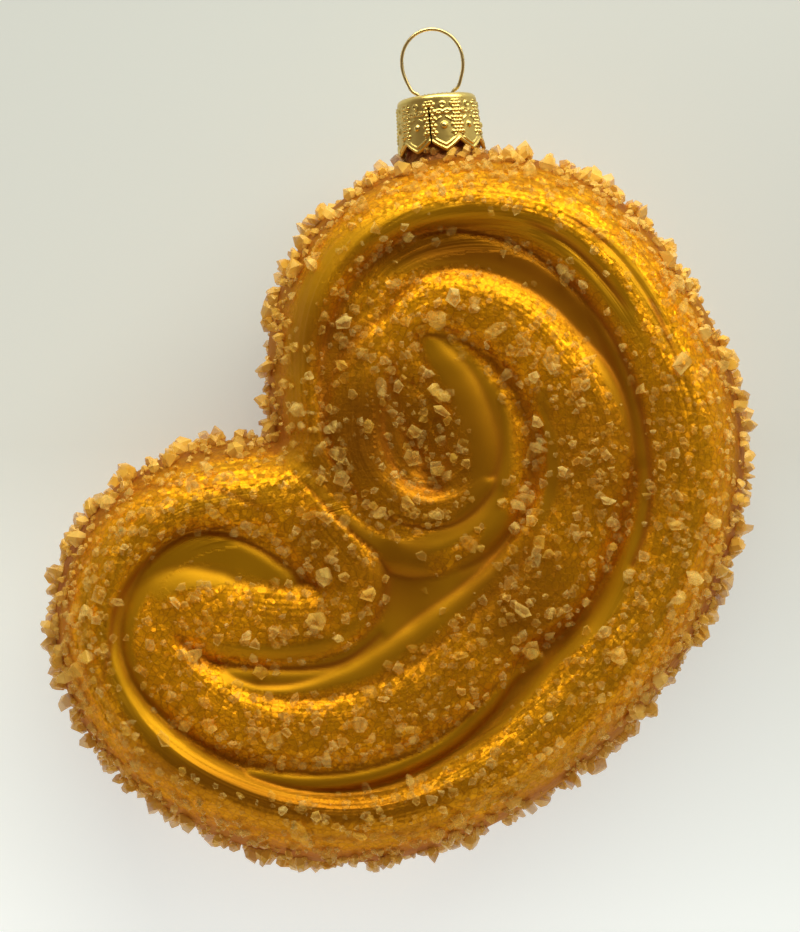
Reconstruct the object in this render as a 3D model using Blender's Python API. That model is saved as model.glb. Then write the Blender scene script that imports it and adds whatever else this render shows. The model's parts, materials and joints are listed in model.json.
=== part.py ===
"""Glass ornament shaped like a palmier pastry, lying on its back with its front face up.

+X is the ornament's right and +Y its top, where the cap and the hanger loop are. +Z comes out of
the front face. The origin is under the middle of the whole, on the surface that it lies on.
"""

import math

import bmesh
import bpy
import numpy as np
from mathutils import Matrix, Vector
from mathutils.geometry import delaunay_2d_cdt

MM = 0.001

# Driving dimensions, in millimetres. The places below are about the middle of the glass body.
SPACING = 1.95  # between the points of the body's surface
RIM_DEPTH = 11.0  # from the outline in to where the rounded rim levels out
RIM_RISE = 17.0  # how far the rounded rim alone would rise from the seam
BACK_FLAT = 14.1  # the back's highest folds are flattened here, so that the body lies still
FLOOR = 8.4  # height of the smooth valleys between the folds
FOLD_FOOT = 7.2  # height at which a fold has its full width
FOLD_POWER = 2.8  # how flat the folds' tops are
CREST = 16.0  # height of the highest folds, which the depth of the others is measured from
FOLD_DEPTH = 0.34  # the folds' true depth below the crest, as a share of the heights given below
RIM_BLEND = 1.5  # how softly the rim runs into the folds
EVEN_REACH = 1.0  # how far round each point its height is evened out
RIM_RINGS = (0.0, 0.3, 1.1, 2.3)  # distances in from the outline

NECK_AT = (5.3, 36.6)
LEAN = math.radians(6.0)  # the neck, the cap and the loop lean to the left
NECK_RADIUS = 4.3
NECK_TOP = 7.0
NECK_PROFILE = [
    (0, -5), (5.6, -5), (5.6, -0.9), (4.7, 0.2), (NECK_RADIUS, 1.2),
    (NECK_RADIUS, NECK_TOP - 0.3), (NECK_RADIUS - 0.3, NECK_TOP), (0, NECK_TOP),
]
BORE_RADIUS = 3.3
BORE_FOOT = -1.0

CAP_PETALS = 9
CAP_SECTORS = 6  # of the wall, for each petal
CAP_TURN = math.radians(6.0)  # from the front to the middle of the first petal
CAP_WALL = 0.35
CAP_TOP = 7.7
CAP_TIP = 0.4
CAP_NOTCH = 1.3  # the gaps between the petals reach this far above their tips
CAP_TOP_RADIUS = 4.95
CAP_TIP_RADIUS = 5.4
CAP_SHOULDER = 0.7
CAP_SKIRT = [(CAP_TIP_RADIUS, CAP_TIP, 1.0), (5.25, 2.4, 0.35), (5.05, 4.6, 0.0)]
BRIDGE = (2.8, 1.3, 0.5)  # the raised strip between the wire's holes

WIRE_RADIUS = 0.215
WIRE_HOLE = 0.55
LEG_APART = 2.2  # each leg from the cap's axis
LEG_FOOT = 3.0
LOOP_MIDDLE = 12.15
LOOP_WIDTH = 3.82  # half, to the wire's centre
LOOP_RISE = 4.1
LOOP_DROP = 5.0
LOOP_KNOTS = 10  # on each side

# The outline's knots, clockwise from the notch between the lobes and back to it.
OUTLINE = [
    (-16, 2), (-16.5, 12.5), (-11.5, 27), (-1, 35), (12.5, 37), (25, 33), (36, 21), (42.5, 5),
    (41.5, -11), (32.5, -29.5), (16, -44), (-3, -51), (-21, -48.5), (-37, -37.5), (-43, -22.5),
    (-38.5, -7.5), (-27.5, 0), (-16, 2),
]

# Folds of the rolled dough. A knot is x, y, the half widths to the left and right of the way along,
# and the height of the crest.
OUTER = 11.0  # half width towards the rim, which cuts the outer fold off there
OUTER_FOLD = [
    (13, 6.5, 1.5, 1.5, 9.4), (14, 0, 2.2, 2, 9.8), (8, -10.5, 3.6, 2.6, 10.4),
    (2.5, -11.5, 3.8, 2.8, 10.7), (-4, -9, 4, 3, 11.4), (-10, -3.5, 4.8, 3.6, 12.6),
    (-13, 2.5, 7.5, 4.2, 13.8),
    (-13.5, 12.5, OUTER, 4.5, 15.2), (-10.5, 21.5, OUTER, 5, 15.9), (-5.5, 27.5, OUTER, 5, 16),
    (4.5, 31.5, OUTER, 5, 16), (16, 31, OUTER, 6, 15.6), (28, 23.5, OUTER, 8.6, 15.3),
    (35, 11, OUTER, 9.8, 15.3), (37, -2.5, OUTER, 10, 15.3), (33, -18.5, OUTER, 10, 15.3),
    (24, -31.5, OUTER, 9.2, 15.4), (10, -41.5, OUTER, 6.2, 15.7), (-6, -46, OUTER, 5, 16.2),
    (-24.5, -41, OUTER, 5, 16.2), (-35.5, -30.5, OUTER, 4.5, 16.2), (-38, -20, OUTER, 4.8, 16.2),
    (-33.5, -9.5, OUTER, 5.2, 16.2), (-26, -4.5, OUTER, 5.6, 16.2), (-19.5, -3.5, 9, 6.6, 15.4),
    (-13, -5.5, 5.5, 6.5, 13.9), (-8, -10.5, 4.4, 6, 13.3), (-5, -15.5, 3.5, 5.8, 12.8),
    (-7, -20, 3.8, 5, 12.3), (-12.5, -21.5, 4.2, 5.2, 11.9), (-20, -20.8, 4.8, 5.5, 11.8),
    (-26, -19.5, 4.5, 4.2, 11.8),
]
INNER_FOLD = [
    (1, 10, 2, 2.8, 10), (0.2, 15, 2.5, 3, 11.4), (4, 17.7, 3.8, 4.2, 12.6), (10, 17, 4.8, 4.8, 13.2),
    (15, 14.3, 5, 5, 13.6), (18.5, 10.5, 5.2, 5.2, 13.8), (22, 6, 5.5, 6, 14), (23.5, 1, 5.5, 7.2, 14),
    (23.5, -6, 5, 7.6, 14), (21, -12.5, 5.2, 7.4, 13.6), (17.5, -18, 5, 6.4, 13),
    (13.5, -21, 3.2, 5, 12.2),
]
LOWER_FOLD = [
    (18, -15, 3, 5, 12.2), (14, -20, 4.2, 5.5, 12.8), (9, -25.5, 4.8, 5.8, 13.2),
    (2.5, -30.5, 5.2, 6, 13.3), (-5, -33.5, 5.5, 5.8, 13.3), (-12.5, -34, 5.2, 5, 13.2),
    (-20, -32, 5.2, 4.2, 13), (-26, -27.5, 5.5, 3.5, 13), (-29, -23, 5.8, 3, 12.8),
    (-27.5, -20, 6, 2.8, 12.4), (-23, -19.5, 5.5, 2.8, 12),
]
COIL = [
    (0, 15, 2.5, 2.5, 10.3), (-3.5, 11, 3.5, 3.5, 11.5), (-5.5, 4, 3.8, 4, 12.2),
    (-4, -2.5, 3.5, 3.8, 12.2), (0, -6, 2.5, 3.2, 11.6), (5.5, -6.5, 2, 3, 10.8), (10, -4, 1.5, 2, 10),
]
HEART = [
    (2.5, 13.5, 1.8, 1.8, 9), (6, 9, 3, 2.8, 10), (8.2, 3.5, 3.5, 3.4, 10.4),
    (8.8, -2, 3.2, 3.4, 10.2), (6.2, -6.5, 2.4, 2.4, 9.6),
]
UPPER_LIP = [
    (15, 9, 1.3, 1.3, 10), (17.5, 4, 1.6, 1.4, 10.9), (18.4, -1, 1.8, 1.4, 11.4),
    (17.6, -6, 2, 1.6, 11.4), (15.2, -11, 2.6, 2, 11.2), (11.2, -16, 3.2, 2.4, 11),
    (5.6, -20.8, 3.4, 2.8, 10.8), (0, -24.8, 3.4, 2.8, 10.6), (-6.2, -28, 3, 2.4, 10.4),
    (-12.5, -29.6, 2, 1.8, 10.2), (-18.8, -29, 1.3, 1.3, 9.9), (-22.5, -27, 1.1, 1.1, 9.4),
]
FOLDS = (OUTER_FOLD, INNER_FOLD, LOWER_FOLD, UPPER_LIP, COIL, HEART)
FOLD_BLEND = 1.6  # how softly the folds run into each other

# Grooves pressed in over the folds. A knot is x, y, the half width and the depth.
GROOVES = [
    [(-10, 13.2, 2.2, 1.5), (-8.5, 16.8, 2.4, 1.8), (-5.5, 20.8, 2.4, 1.5), (0, 24.2, 2.4, 0.8)],
    [
        (28, -4, 1.8, 0.8), (25.4, -13.5, 1.8, 2), (23, -18.8, 1.8, 2.2), (16, -25.8, 2.2, 2.4),
        (13.2, -29.8, 2, 2.2), (9, -34.2, 1.8, 1.6), (-0.5, -40, 1.8, 0.8),
    ],
    [
        (5, 15, 1.6, 0.4), (9.4, 12.7, 1.6, 1), (14.4, 5.2, 1.8, 1.8), (15.5, -4.2, 1.8, 1.8),
        (11.5, -12, 1.6, 0.6),
    ],
    [(-1, 10, 1.5, 0.8), (0, 4.5, 1.6, 1.6), (1.8, 0.2, 1.8, 2), (4, -4.5, 1.6, 1.2)],
    [(-16, 2.2, 2, 1.6), (-8.5, -4.5, 2, 1), (-1.2, -12.2, 2, 0.4)],
]

GLASS = dict(colour=(0.72, 0.36, 0.02, 1), roughness=0.25, metallic=0.7)
GOLD = dict(colour=(0.80, 0.62, 0.24, 1), roughness=0.3, metallic=1.0)
BRASS = dict(colour=(0.74, 0.58, 0.27, 1), roughness=0.2, metallic=1.0)


def clear_scene():
    for thing in list(bpy.data.objects):
        bpy.data.objects.remove(thing, do_unlink=True)


def finish_of(name, colour, roughness, metallic):
    material = bpy.data.materials.new(name)
    material.use_nodes = True
    shader = material.node_tree.nodes["Principled BSDF"]
    shader.inputs["Base Color"].default_value = colour
    shader.inputs["Roughness"].default_value = roughness
    shader.inputs["Metallic"].default_value = metallic
    return material


def object_from(name, bm, material):
    mesh = bpy.data.meshes.new(name)
    bm.to_mesh(mesh)
    bm.free()
    mesh.shade_smooth()
    mesh.set_sharp_from_angle(angle=math.radians(40))
    thing = bpy.data.objects.new(name, mesh)
    thing.data.materials.append(material)
    bpy.context.scene.collection.objects.link(thing)
    return thing


def cut_or_join(target, tool, operation):
    """Adds an exact Boolean and keeps its tool out of the finished model."""
    step = target.modifiers.new(tool.name, "BOOLEAN")
    step.operation = operation
    step.solver = "EXACT"
    step.object = tool
    tool.hide_render = True
    tool.display_type = "WIRE"


def smooth_path(knots, step):
    """A natural cubic spline through the knots, which carries all their values along."""
    knots = np.array(knots, float)
    gaps = np.linalg.norm(np.diff(knots[:, :2], axis=0), axis=1)
    along = np.concatenate([[0.0], np.cumsum(gaps)])
    count = len(knots)
    system = np.eye(count)
    bends = np.zeros_like(knots)
    for i in range(1, count - 1):
        system[i, i - 1 : i + 2] = gaps[i - 1], 2 * (gaps[i - 1] + gaps[i]), gaps[i]
        rise = (knots[i + 1] - knots[i]) / gaps[i]
        bends[i] = 6 * (rise - (knots[i] - knots[i - 1]) / gaps[i - 1])
    bends = np.linalg.solve(system, bends)
    places = np.linspace(0, along[-1], int(along[-1] / step) + 2)
    i = np.clip(np.searchsorted(along, places, side="right") - 1, 0, count - 2)
    a = ((along[i + 1] - places) / gaps[i])[:, None]
    b = 1 - a
    curve = ((a**3 - a) * bends[i] + (b**3 - b) * bends[i + 1]) * (gaps[i] ** 2)[:, None] / 6
    return a * knots[i] + b * knots[i + 1] + curve


def follow(points, path):
    """Each point's distance to the path, positive on its left, and the path's values beside it."""
    samples = path[:, :2]
    nearest = ((samples**2).sum(1) - 2 * points @ samples.T).argmin(1)
    runs = np.diff(samples, axis=0)
    lengths = (runs**2).sum(1)
    offset = np.full(len(points), np.inf)
    values = np.empty((len(points), path.shape[1] - 2))
    for side in (-1, 0):
        k = np.clip(nearest + side, 0, len(runs) - 1)
        reach = points - samples[k]
        t = np.clip((reach * runs[k]).sum(1) / lengths[k], 0, 1)
        distance = np.linalg.norm(reach - t[:, None] * runs[k], axis=1)
        left = runs[k, 0] * reach[:, 1] - runs[k, 1] * reach[:, 0] >= 0
        closer = distance < np.abs(offset)
        offset = np.where(closer, np.where(left, distance, -distance), offset)
        here = path[k, 2:] + t[:, None] * (path[k + 1, 2:] - path[k, 2:])
        values[closer] = here[closer]
    return offset, values


def soft_max(a, b, blend):
    mix = np.clip(0.5 + 0.5 * (a - b) / blend, 0, 1)
    return b + (a - b) * mix + blend * mix * (1 - mix)


def relief(points, inward):
    """Height of the front above the seam, at points that lie inward from the outline."""
    height = np.full(len(points), FLOOR)
    for knots in FOLDS:
        offset, values = follow(points, smooth_path(knots, 0.5))
        width = np.where(offset > 0, values[:, 0], values[:, 1])
        fold = values[:, 2] - (values[:, 2] - FOLD_FOOT) * np.abs(offset / width) ** FOLD_POWER
        height = soft_max(height, np.maximum(fold, 0), FOLD_BLEND)
    for knots in GROOVES:
        offset, values = follow(points, smooth_path(knots, 0.5))
        height = height - values[:, 1] * np.exp(-((offset / values[:, 0]) ** 2))
    height = CREST - FOLD_DEPTH * (CREST - height)
    t = np.clip(inward / RIM_DEPTH, 0, 1)
    rim = RIM_RISE * np.sqrt(1 - (1 - t) ** 2) + 3 * np.maximum(inward - RIM_DEPTH, 0)
    return -soft_max(-height, -rim, RIM_BLEND) * np.clip(inward / RIM_RINGS[1], 0, 1)


def even_relief(points, inward, outline):
    """The relief, with each point inside the rim taking the mean height round it, so that creases
    narrower than the spacing stay smooth."""
    height = relief(points, inward)
    deep = inward > RIM_RINGS[-1] + EVEN_REACH
    around = []
    for turn in np.arange(6) * math.pi / 3:
        near = points[deep] + EVEN_REACH * np.array([math.cos(turn), math.sin(turn)])
        around.append(relief(near, np.abs(follow(near, outline)[0])))
    height[deep] = (height[deep] + sum(around)) / 7
    return height


def within(points, loop):
    """True for the points inside a closed loop."""
    inside = np.zeros(len(points), bool)
    for (x0, y0), (x1, y1) in zip(loop, np.roll(loop, -1, axis=0)):
        if y0 != y1:
            crossed = (y0 > points[:, 1]) != (y1 > points[:, 1])
            at = x0 + (x1 - x0) * (points[:, 1] - y0) / (y1 - y0)
            inside ^= crossed & (points[:, 0] < at)
    return inside


def body_points():
    """The outline's rings and a triangular lattice inside them, each point's height, and how many
    points the outline itself has."""
    fine = smooth_path(OUTLINE, 0.2)
    loop = smooth_path(OUTLINE, SPACING)[:-1]
    ahead = np.roll(loop, -1, axis=0) - np.roll(loop, 1, axis=0)
    inner = np.stack([ahead[:, 1], -ahead[:, 0]], axis=1) / np.linalg.norm(ahead, axis=1)[:, None]
    rings = [loop + depth * inner for depth in RIM_RINGS]
    row = SPACING * math.sqrt(3) / 2
    low, high = loop.min(0), loop.max(0)
    lattice = [
        (x + (j % 2) * SPACING / 2, y)
        for j, y in enumerate(np.arange(low[1], high[1], row))
        for x in np.arange(low[0], high[0], SPACING)
    ]
    lattice = np.array(lattice)
    lattice = lattice[within(lattice, loop)]
    clear = np.abs(follow(lattice, fine)[0]) > RIM_RINGS[-1] + 0.6 * SPACING
    points = np.vstack(rings + [lattice[clear]])
    inward = np.abs(follow(points, fine)[0])
    inward[: len(loop)] = 0.0
    return points, even_relief(points, inward, fine), len(loop)


def make_body(material):
    """Two faces with the same relief, joined along the seam at the outline."""
    points, relief_height, seam = body_points()
    edges = [(i, (i + 1) % seam) for i in range(seam)]
    flat = [Vector(point) for point in points]
    placed, _, triangles, origins, _, _ = delaunay_2d_cdt(flat, edges, [], 1, 1e-6)
    at = np.array([origin[0] for origin in origins])
    height = relief_height[at]
    on_seam = at < seam
    bm = bmesh.new()
    front = [
        bm.verts.new(Vector((spot.x, spot.y, BACK_FLAT + (0 if rim else up))) * MM)
        for spot, up, rim in zip(placed, height, on_seam)
    ]
    back = [
        top if rim else bm.verts.new(Vector((spot.x, spot.y, BACK_FLAT - min(up, BACK_FLAT))) * MM)
        for spot, up, rim, top in zip(placed, height, on_seam, front)
    ]
    for a, b, c in triangles:
        bm.faces.new((front[a], front[b], front[c]))
        bm.faces.new((back[c], back[b], back[a]))
    return object_from("glass_body", bm, material)


def rod(radius, low, high):
    """The profile of a plain round rod."""
    return [(0, low), (radius, low), (radius, high), (0, high)]


def turned(profile, sectors):
    """A closed solid turned round the Z axis from points of radius and height."""
    bm = bmesh.new()
    rings = []
    for radius, height in profile:
        if radius == 0:
            rings.append([bm.verts.new((0, 0, height * MM))] * sectors)
            continue
        ring = []
        for i in range(sectors):
            angle = 2 * math.pi * i / sectors
            place = Vector((radius * math.cos(angle), radius * math.sin(angle), height))
            ring.append(bm.verts.new(place * MM))
        rings.append(ring)
    for low, high in zip(rings, rings[1:]):
        for i in range(sectors):
            j = (i + 1) % sectors
            corners = list(dict.fromkeys((low[i], low[j], high[j], high[i])))
            if len(corners) > 2:
                bm.faces.new(corners)
    bmesh.ops.recalc_face_normals(bm, faces=bm.faces)
    return bm


def neck_frame():
    """Puts the cap's own Z axis along the neck, with its own +X across and its front up."""
    across = Vector((math.cos(LEAN), math.sin(LEAN), 0))
    up = Vector((-math.sin(LEAN), math.cos(LEAN), 0))
    out = across.cross(up)
    frame = Matrix((across, -out, up)).transposed().to_4x4()
    frame.translation = Vector((NECK_AT[0], NECK_AT[1], BACK_FLAT)) * MM
    return frame


def add_neck(body, material):
    """Joins the drawn neck to the body and opens its mouth."""
    neck = object_from("neck_tool", turned(NECK_PROFILE, 32), material)
    bore = object_from("bore_tool", turned(rod(BORE_RADIUS, BORE_FOOT, NECK_TOP + 2), 24), material)
    for tool, operation in ((neck, "UNION"), (bore, "DIFFERENCE")):
        tool.matrix_world = neck_frame()
        cut_or_join(body, tool, operation)


def petal_edge(angle):
    """How far the cap's lower edge is above its tips, from the angle round the cap."""
    turn = (angle - CAP_TURN) * CAP_PETALS / (2 * math.pi)
    beside = abs(turn - round(turn)) * 2
    return CAP_NOTCH * beside**1.5


def cap_ring(bm, shrink, height, radius, scallop):
    count = CAP_PETALS * CAP_SECTORS
    ring = []
    for i in range(count):
        angle = 2 * math.pi * i / count
        z = height + scallop * petal_edge(angle)
        spread = radius - shrink
        place = Vector((spread * math.sin(angle), -spread * math.cos(angle), z))
        ring.append(bm.verts.new(place * MM))
    return ring


def make_cap(material):
    """A thin stamped shell with pointed petals, two holes for the wire and a raised strip. Its wall's
    rings are a radius, a height and how much of the petals' edge they follow."""
    bm = bmesh.new()
    shoulder = [
        (CAP_TOP_RADIUS - CAP_SHOULDER * (1 - math.sin(a)), CAP_TOP - CAP_SHOULDER * (1 - math.cos(a)))
        for a in (math.pi / 2, math.pi / 4, 0)
    ]
    wall = CAP_SKIRT + [(radius, height, 0.0) for radius, height in shoulder]
    outer = [cap_ring(bm, 0, height, radius, scallop) for radius, height, scallop in wall]
    inner = []
    for radius, height, scallop in wall:
        top = height > CAP_TOP - 0.01
        inner.append(cap_ring(bm, CAP_WALL, height - (CAP_WALL if top else 0), radius, scallop))
    for rings, flip in ((outer, False), (inner, True)):
        for low, high in zip(rings, rings[1:]):
            for i, corner in enumerate(low):
                j = (i + 1) % len(low)
                corners = (corner, low[j], high[j], high[i])
                bm.faces.new(corners[::-1] if flip else corners)
        bm.faces.new(rings[-1][::-1] if flip else rings[-1])
    for i, corner in enumerate(outer[0]):
        j = (i + 1) % len(outer[0])
        bm.faces.new((corner, inner[0][i], inner[0][j], outer[0][j]))
    bmesh.ops.recalc_face_normals(bm, faces=bm.faces)
    cap = object_from("cap", bm, material)
    cap.matrix_world = neck_frame()
    add_bridge(cap, material)
    for side in (-1, 1):
        drill = turned(rod(WIRE_HOLE, CAP_TOP - 1, CAP_TOP + 1), 12)
        hole = object_from("hole_tool", drill, material)
        hole.matrix_world = neck_frame() @ Matrix.Translation((side * LEG_APART * MM, 0, 0))
        cut_or_join(cap, hole, "DIFFERENCE")


def add_bridge(cap, material):
    length, width, rise = BRIDGE
    bm = bmesh.new()
    bmesh.ops.create_cube(bm, size=1)
    bmesh.ops.scale(bm, vec=Vector((length, width, rise + CAP_WALL / 2)) * MM, verts=bm.verts)
    top = [edge for edge in bm.edges if all(vert.co.z > 0 for vert in edge.verts)]
    bmesh.ops.bevel(bm, geom=top, offset=0.3 * MM, segments=2, profile=0.5, affect="EDGES")
    bridge = object_from("bridge_tool", bm, material)
    middle = CAP_TOP + (rise - CAP_WALL / 2) / 2
    bridge.matrix_world = neck_frame() @ Matrix.Translation((0, 0, middle * MM))
    cut_or_join(cap, bridge, "UNION")


def hanger_route():
    """The wire's centre, from one leg's foot round the loop to the other, in the neck's own plane."""
    right = [(LEG_APART, up) for up in (LEG_FOOT, 5.4, CAP_TOP - 0.2, CAP_TOP + 0.55)]
    lowest = math.pi - math.asin(LEG_APART / LOOP_WIDTH)
    for step in range(1, LOOP_KNOTS + 1):
        angle = (lowest + 0.12) * (1 - step / LOOP_KNOTS)
        drop = LOOP_DROP if math.cos(angle) < 0 else LOOP_RISE
        right.append((LOOP_WIDTH * math.sin(angle), LOOP_MIDDLE + drop * math.cos(angle)))
    left = [(-across, up) for across, up in right[:-1]]
    return right + left[::-1]


def make_hanger(material):
    """A loop of spring wire whose two legs go down through the cap's holes."""
    path = smooth_path(hanger_route(), 0.8)
    curve = bpy.data.curves.new("hanger", "CURVE")
    curve.dimensions = "3D"
    curve.bevel_depth = WIRE_RADIUS * MM
    curve.bevel_resolution = 2
    curve.use_fill_caps = True
    spline = curve.splines.new("POLY")
    spline.points.add(len(path) - 1)
    for point, (across, up) in zip(spline.points, path):
        point.co = (across * MM, 0, up * MM, 1)
    wire = bpy.data.objects.new("hanger", curve)
    wire.data.materials.append(material)
    wire.matrix_world = neck_frame()
    bpy.context.scene.collection.objects.link(wire)


def centre_on_origin():
    """Moves everything so that the whole's box is centred on X and Y."""
    depsgraph = bpy.context.evaluated_depsgraph_get()
    spots = []
    for thing in bpy.context.scene.objects:
        if not thing.hide_render:
            shown = thing.evaluated_get(depsgraph)
            spots += [shown.matrix_world @ vert.co for vert in shown.to_mesh().vertices]
            shown.to_mesh_clear()
    spots = np.array(spots)
    middle = (spots.min(0) + spots.max(0)) / 2
    shift = Matrix.Translation((-middle[0], -middle[1], 0))
    for thing in bpy.context.scene.objects:
        thing.matrix_world = shift @ thing.matrix_world


def main():
    clear_scene()
    glass = finish_of("gold_glass", **GLASS)
    gold = finish_of("cap_gold", **GOLD)
    body = make_body(glass)
    add_neck(body, glass)
    make_cap(gold)
    make_hanger(finish_of("wire_brass", **BRASS))
    centre_on_origin()


main()
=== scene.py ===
"""Glass ornament shaped like a palmier pastry: the visual model, built round its CAD frame."""

import json
import math

import bmesh
import bpy
import numpy as np
from bpy.props import FloatProperty, FloatVectorProperty, IntProperty, PointerProperty
from bpy.types import Operator, Panel, PropertyGroup
from mathutils import Matrix, Vector
from mathutils.geometry import delaunay_2d_cdt

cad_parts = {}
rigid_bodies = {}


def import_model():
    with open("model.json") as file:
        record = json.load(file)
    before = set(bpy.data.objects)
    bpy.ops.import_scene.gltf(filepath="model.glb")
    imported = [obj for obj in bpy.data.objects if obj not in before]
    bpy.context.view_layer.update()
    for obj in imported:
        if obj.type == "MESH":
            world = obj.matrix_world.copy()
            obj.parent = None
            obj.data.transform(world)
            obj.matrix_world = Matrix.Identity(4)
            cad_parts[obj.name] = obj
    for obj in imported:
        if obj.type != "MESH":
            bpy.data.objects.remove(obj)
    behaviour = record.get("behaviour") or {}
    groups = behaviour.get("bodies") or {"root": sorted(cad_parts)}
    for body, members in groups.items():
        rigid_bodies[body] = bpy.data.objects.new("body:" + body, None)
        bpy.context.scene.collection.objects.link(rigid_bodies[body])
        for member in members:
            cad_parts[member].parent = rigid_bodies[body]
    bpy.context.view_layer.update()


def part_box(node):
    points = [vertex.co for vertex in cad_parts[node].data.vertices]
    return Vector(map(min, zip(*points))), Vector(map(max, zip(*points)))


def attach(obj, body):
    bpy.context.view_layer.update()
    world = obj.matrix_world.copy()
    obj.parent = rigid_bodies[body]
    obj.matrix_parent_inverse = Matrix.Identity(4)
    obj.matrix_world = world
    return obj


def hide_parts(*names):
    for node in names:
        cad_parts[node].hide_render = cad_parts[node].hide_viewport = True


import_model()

bl_info = {
    "name": "Palmier Ornament",
    "version": (1, 0, 0),
    "blender": (4, 5, 0),
    "location": "3D View > Sidebar > Ornament",
    "description": "Makes a blown-glass palmier ornament with its sugar, cap and hanger loop",
    "category": "Add Mesh",
}

MM = 0.001

# The outline and the folds, in millimetres about the middle of the glass. The solids have the same.
BACK_FLAT = 14.1  # height of the seam above the floor
RIM_DEPTH = 11.0
RIM_RISE = 17.0
FLOOR = 8.4
FOLD_FOOT = 7.2
FOLD_POWER = 2.8  # how flat the folds' tops are
CREST = 16.0  # height of the highest folds, which the depth of the others is measured from
FOLD_DEPTH = 0.34  # the folds' true depth below the crest, as a share of the heights given below
OUTER = 11.0  # half width of the outer fold towards the rim

OUTLINE = [
    (-16, 2), (-16.5, 12.5), (-11.5, 27), (-1, 35), (12.5, 37), (25, 33), (36, 21), (42.5, 5),
    (41.5, -11), (32.5, -29.5), (16, -44), (-3, -51), (-21, -48.5), (-37, -37.5), (-43, -22.5),
    (-38.5, -7.5), (-27.5, 0), (-16, 2),
]
# A fold's knot is x, y, the half widths to the left and right of the way along, and the crest's height.
OUTER_FOLD = [
    (13, 6.5, 1.5, 1.5, 9.4), (14, 0, 2.2, 2, 9.8), (8, -10.5, 3.6, 2.6, 10.4),
    (2.5, -11.5, 3.8, 2.8, 10.7), (-4, -9, 4, 3, 11.4), (-10, -3.5, 4.8, 3.6, 12.6),
    (-13, 2.5, 7.5, 4.2, 13.8),
    (-13.5, 12.5, OUTER, 4.5, 15.2), (-10.5, 21.5, OUTER, 5, 15.9), (-5.5, 27.5, OUTER, 5, 16),
    (4.5, 31.5, OUTER, 5, 16), (16, 31, OUTER, 6, 15.6), (28, 23.5, OUTER, 8.6, 15.3),
    (35, 11, OUTER, 9.8, 15.3), (37, -2.5, OUTER, 10, 15.3), (33, -18.5, OUTER, 10, 15.3),
    (24, -31.5, OUTER, 9.2, 15.4), (10, -41.5, OUTER, 6.2, 15.7), (-6, -46, OUTER, 5, 16.2),
    (-24.5, -41, OUTER, 5, 16.2), (-35.5, -30.5, OUTER, 4.5, 16.2), (-38, -20, OUTER, 4.8, 16.2),
    (-33.5, -9.5, OUTER, 5.2, 16.2), (-26, -4.5, OUTER, 5.6, 16.2), (-19.5, -3.5, 9, 6.6, 15.4),
    (-13, -5.5, 5.5, 6.5, 13.9), (-8, -10.5, 4.4, 6, 13.3), (-5, -15.5, 3.5, 5.8, 12.8),
    (-7, -20, 3.8, 5, 12.3), (-12.5, -21.5, 4.2, 5.2, 11.9), (-20, -20.8, 4.8, 5.5, 11.8),
    (-26, -19.5, 4.5, 4.2, 11.8),
]
INNER_FOLD = [
    (1, 10, 2, 2.8, 10), (0.2, 15, 2.5, 3, 11.4), (4, 17.7, 3.8, 4.2, 12.6), (10, 17, 4.8, 4.8, 13.2),
    (15, 14.3, 5, 5, 13.6), (18.5, 10.5, 5.2, 5.2, 13.8), (22, 6, 5.5, 6, 14), (23.5, 1, 5.5, 7.2, 14),
    (23.5, -6, 5, 7.6, 14), (21, -12.5, 5.2, 7.4, 13.6), (17.5, -18, 5, 6.4, 13),
    (13.5, -21, 3.2, 5, 12.2),
]
LOWER_FOLD = [
    (18, -15, 3, 5, 12.2), (14, -20, 4.2, 5.5, 12.8), (9, -25.5, 4.8, 5.8, 13.2),
    (2.5, -30.5, 5.2, 6, 13.3), (-5, -33.5, 5.5, 5.8, 13.3), (-12.5, -34, 5.2, 5, 13.2),
    (-20, -32, 5.2, 4.2, 13), (-26, -27.5, 5.5, 3.5, 13), (-29, -23, 5.8, 3, 12.8),
    (-27.5, -20, 6, 2.8, 12.4), (-23, -19.5, 5.5, 2.8, 12),
]
UPPER_LIP = [
    (15, 9, 1.3, 1.3, 10), (17.5, 4, 1.6, 1.4, 10.9), (18.4, -1, 1.8, 1.4, 11.4),
    (17.6, -6, 2, 1.6, 11.4), (15.2, -11, 2.6, 2, 11.2), (11.2, -16, 3.2, 2.4, 11),
    (5.6, -20.8, 3.4, 2.8, 10.8), (0, -24.8, 3.4, 2.8, 10.6), (-6.2, -28, 3, 2.4, 10.4),
    (-12.5, -29.6, 2, 1.8, 10.2), (-18.8, -29, 1.3, 1.3, 9.9), (-22.5, -27, 1.1, 1.1, 9.4),
]
LOWER_LIP = [
    (16.2, -25, 1.4, 1.4, 9.8), (13.1, -27.3, 1.4, 1.4, 10.4), (11.2, -30, 1.3, 1.3, 10.5),
    (8.8, -32.7, 1.3, 1.3, 10.5), (5, -35.8, 1.3, 1.3, 10.3), (0, -38.2, 1.3, 1.3, 10.1),
    (-6.2, -39.8, 1.3, 1.3, 10), (-12.5, -40, 1.3, 1.3, 9.9), (-18, -39.2, 1.3, 1.3, 9.8),
]
COIL = [
    (0, 15, 2.5, 2.5, 10.3), (-3.5, 11, 3.5, 3.5, 11.5), (-5.5, 4, 3.8, 4, 12.2),
    (-4, -2.5, 3.5, 3.8, 12.2), (0, -6, 2.5, 3.2, 11.6), (5.5, -6.5, 2, 3, 10.8), (10, -4, 1.5, 2, 10),
]
HEART = [
    (2.5, 13.5, 1.8, 1.8, 9), (6, 9, 3, 2.8, 10), (8.2, 3.5, 3.5, 3.4, 10.4),
    (8.8, -2, 3.2, 3.4, 10.2), (6.2, -6.5, 2.4, 2.4, 9.6),
]
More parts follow.
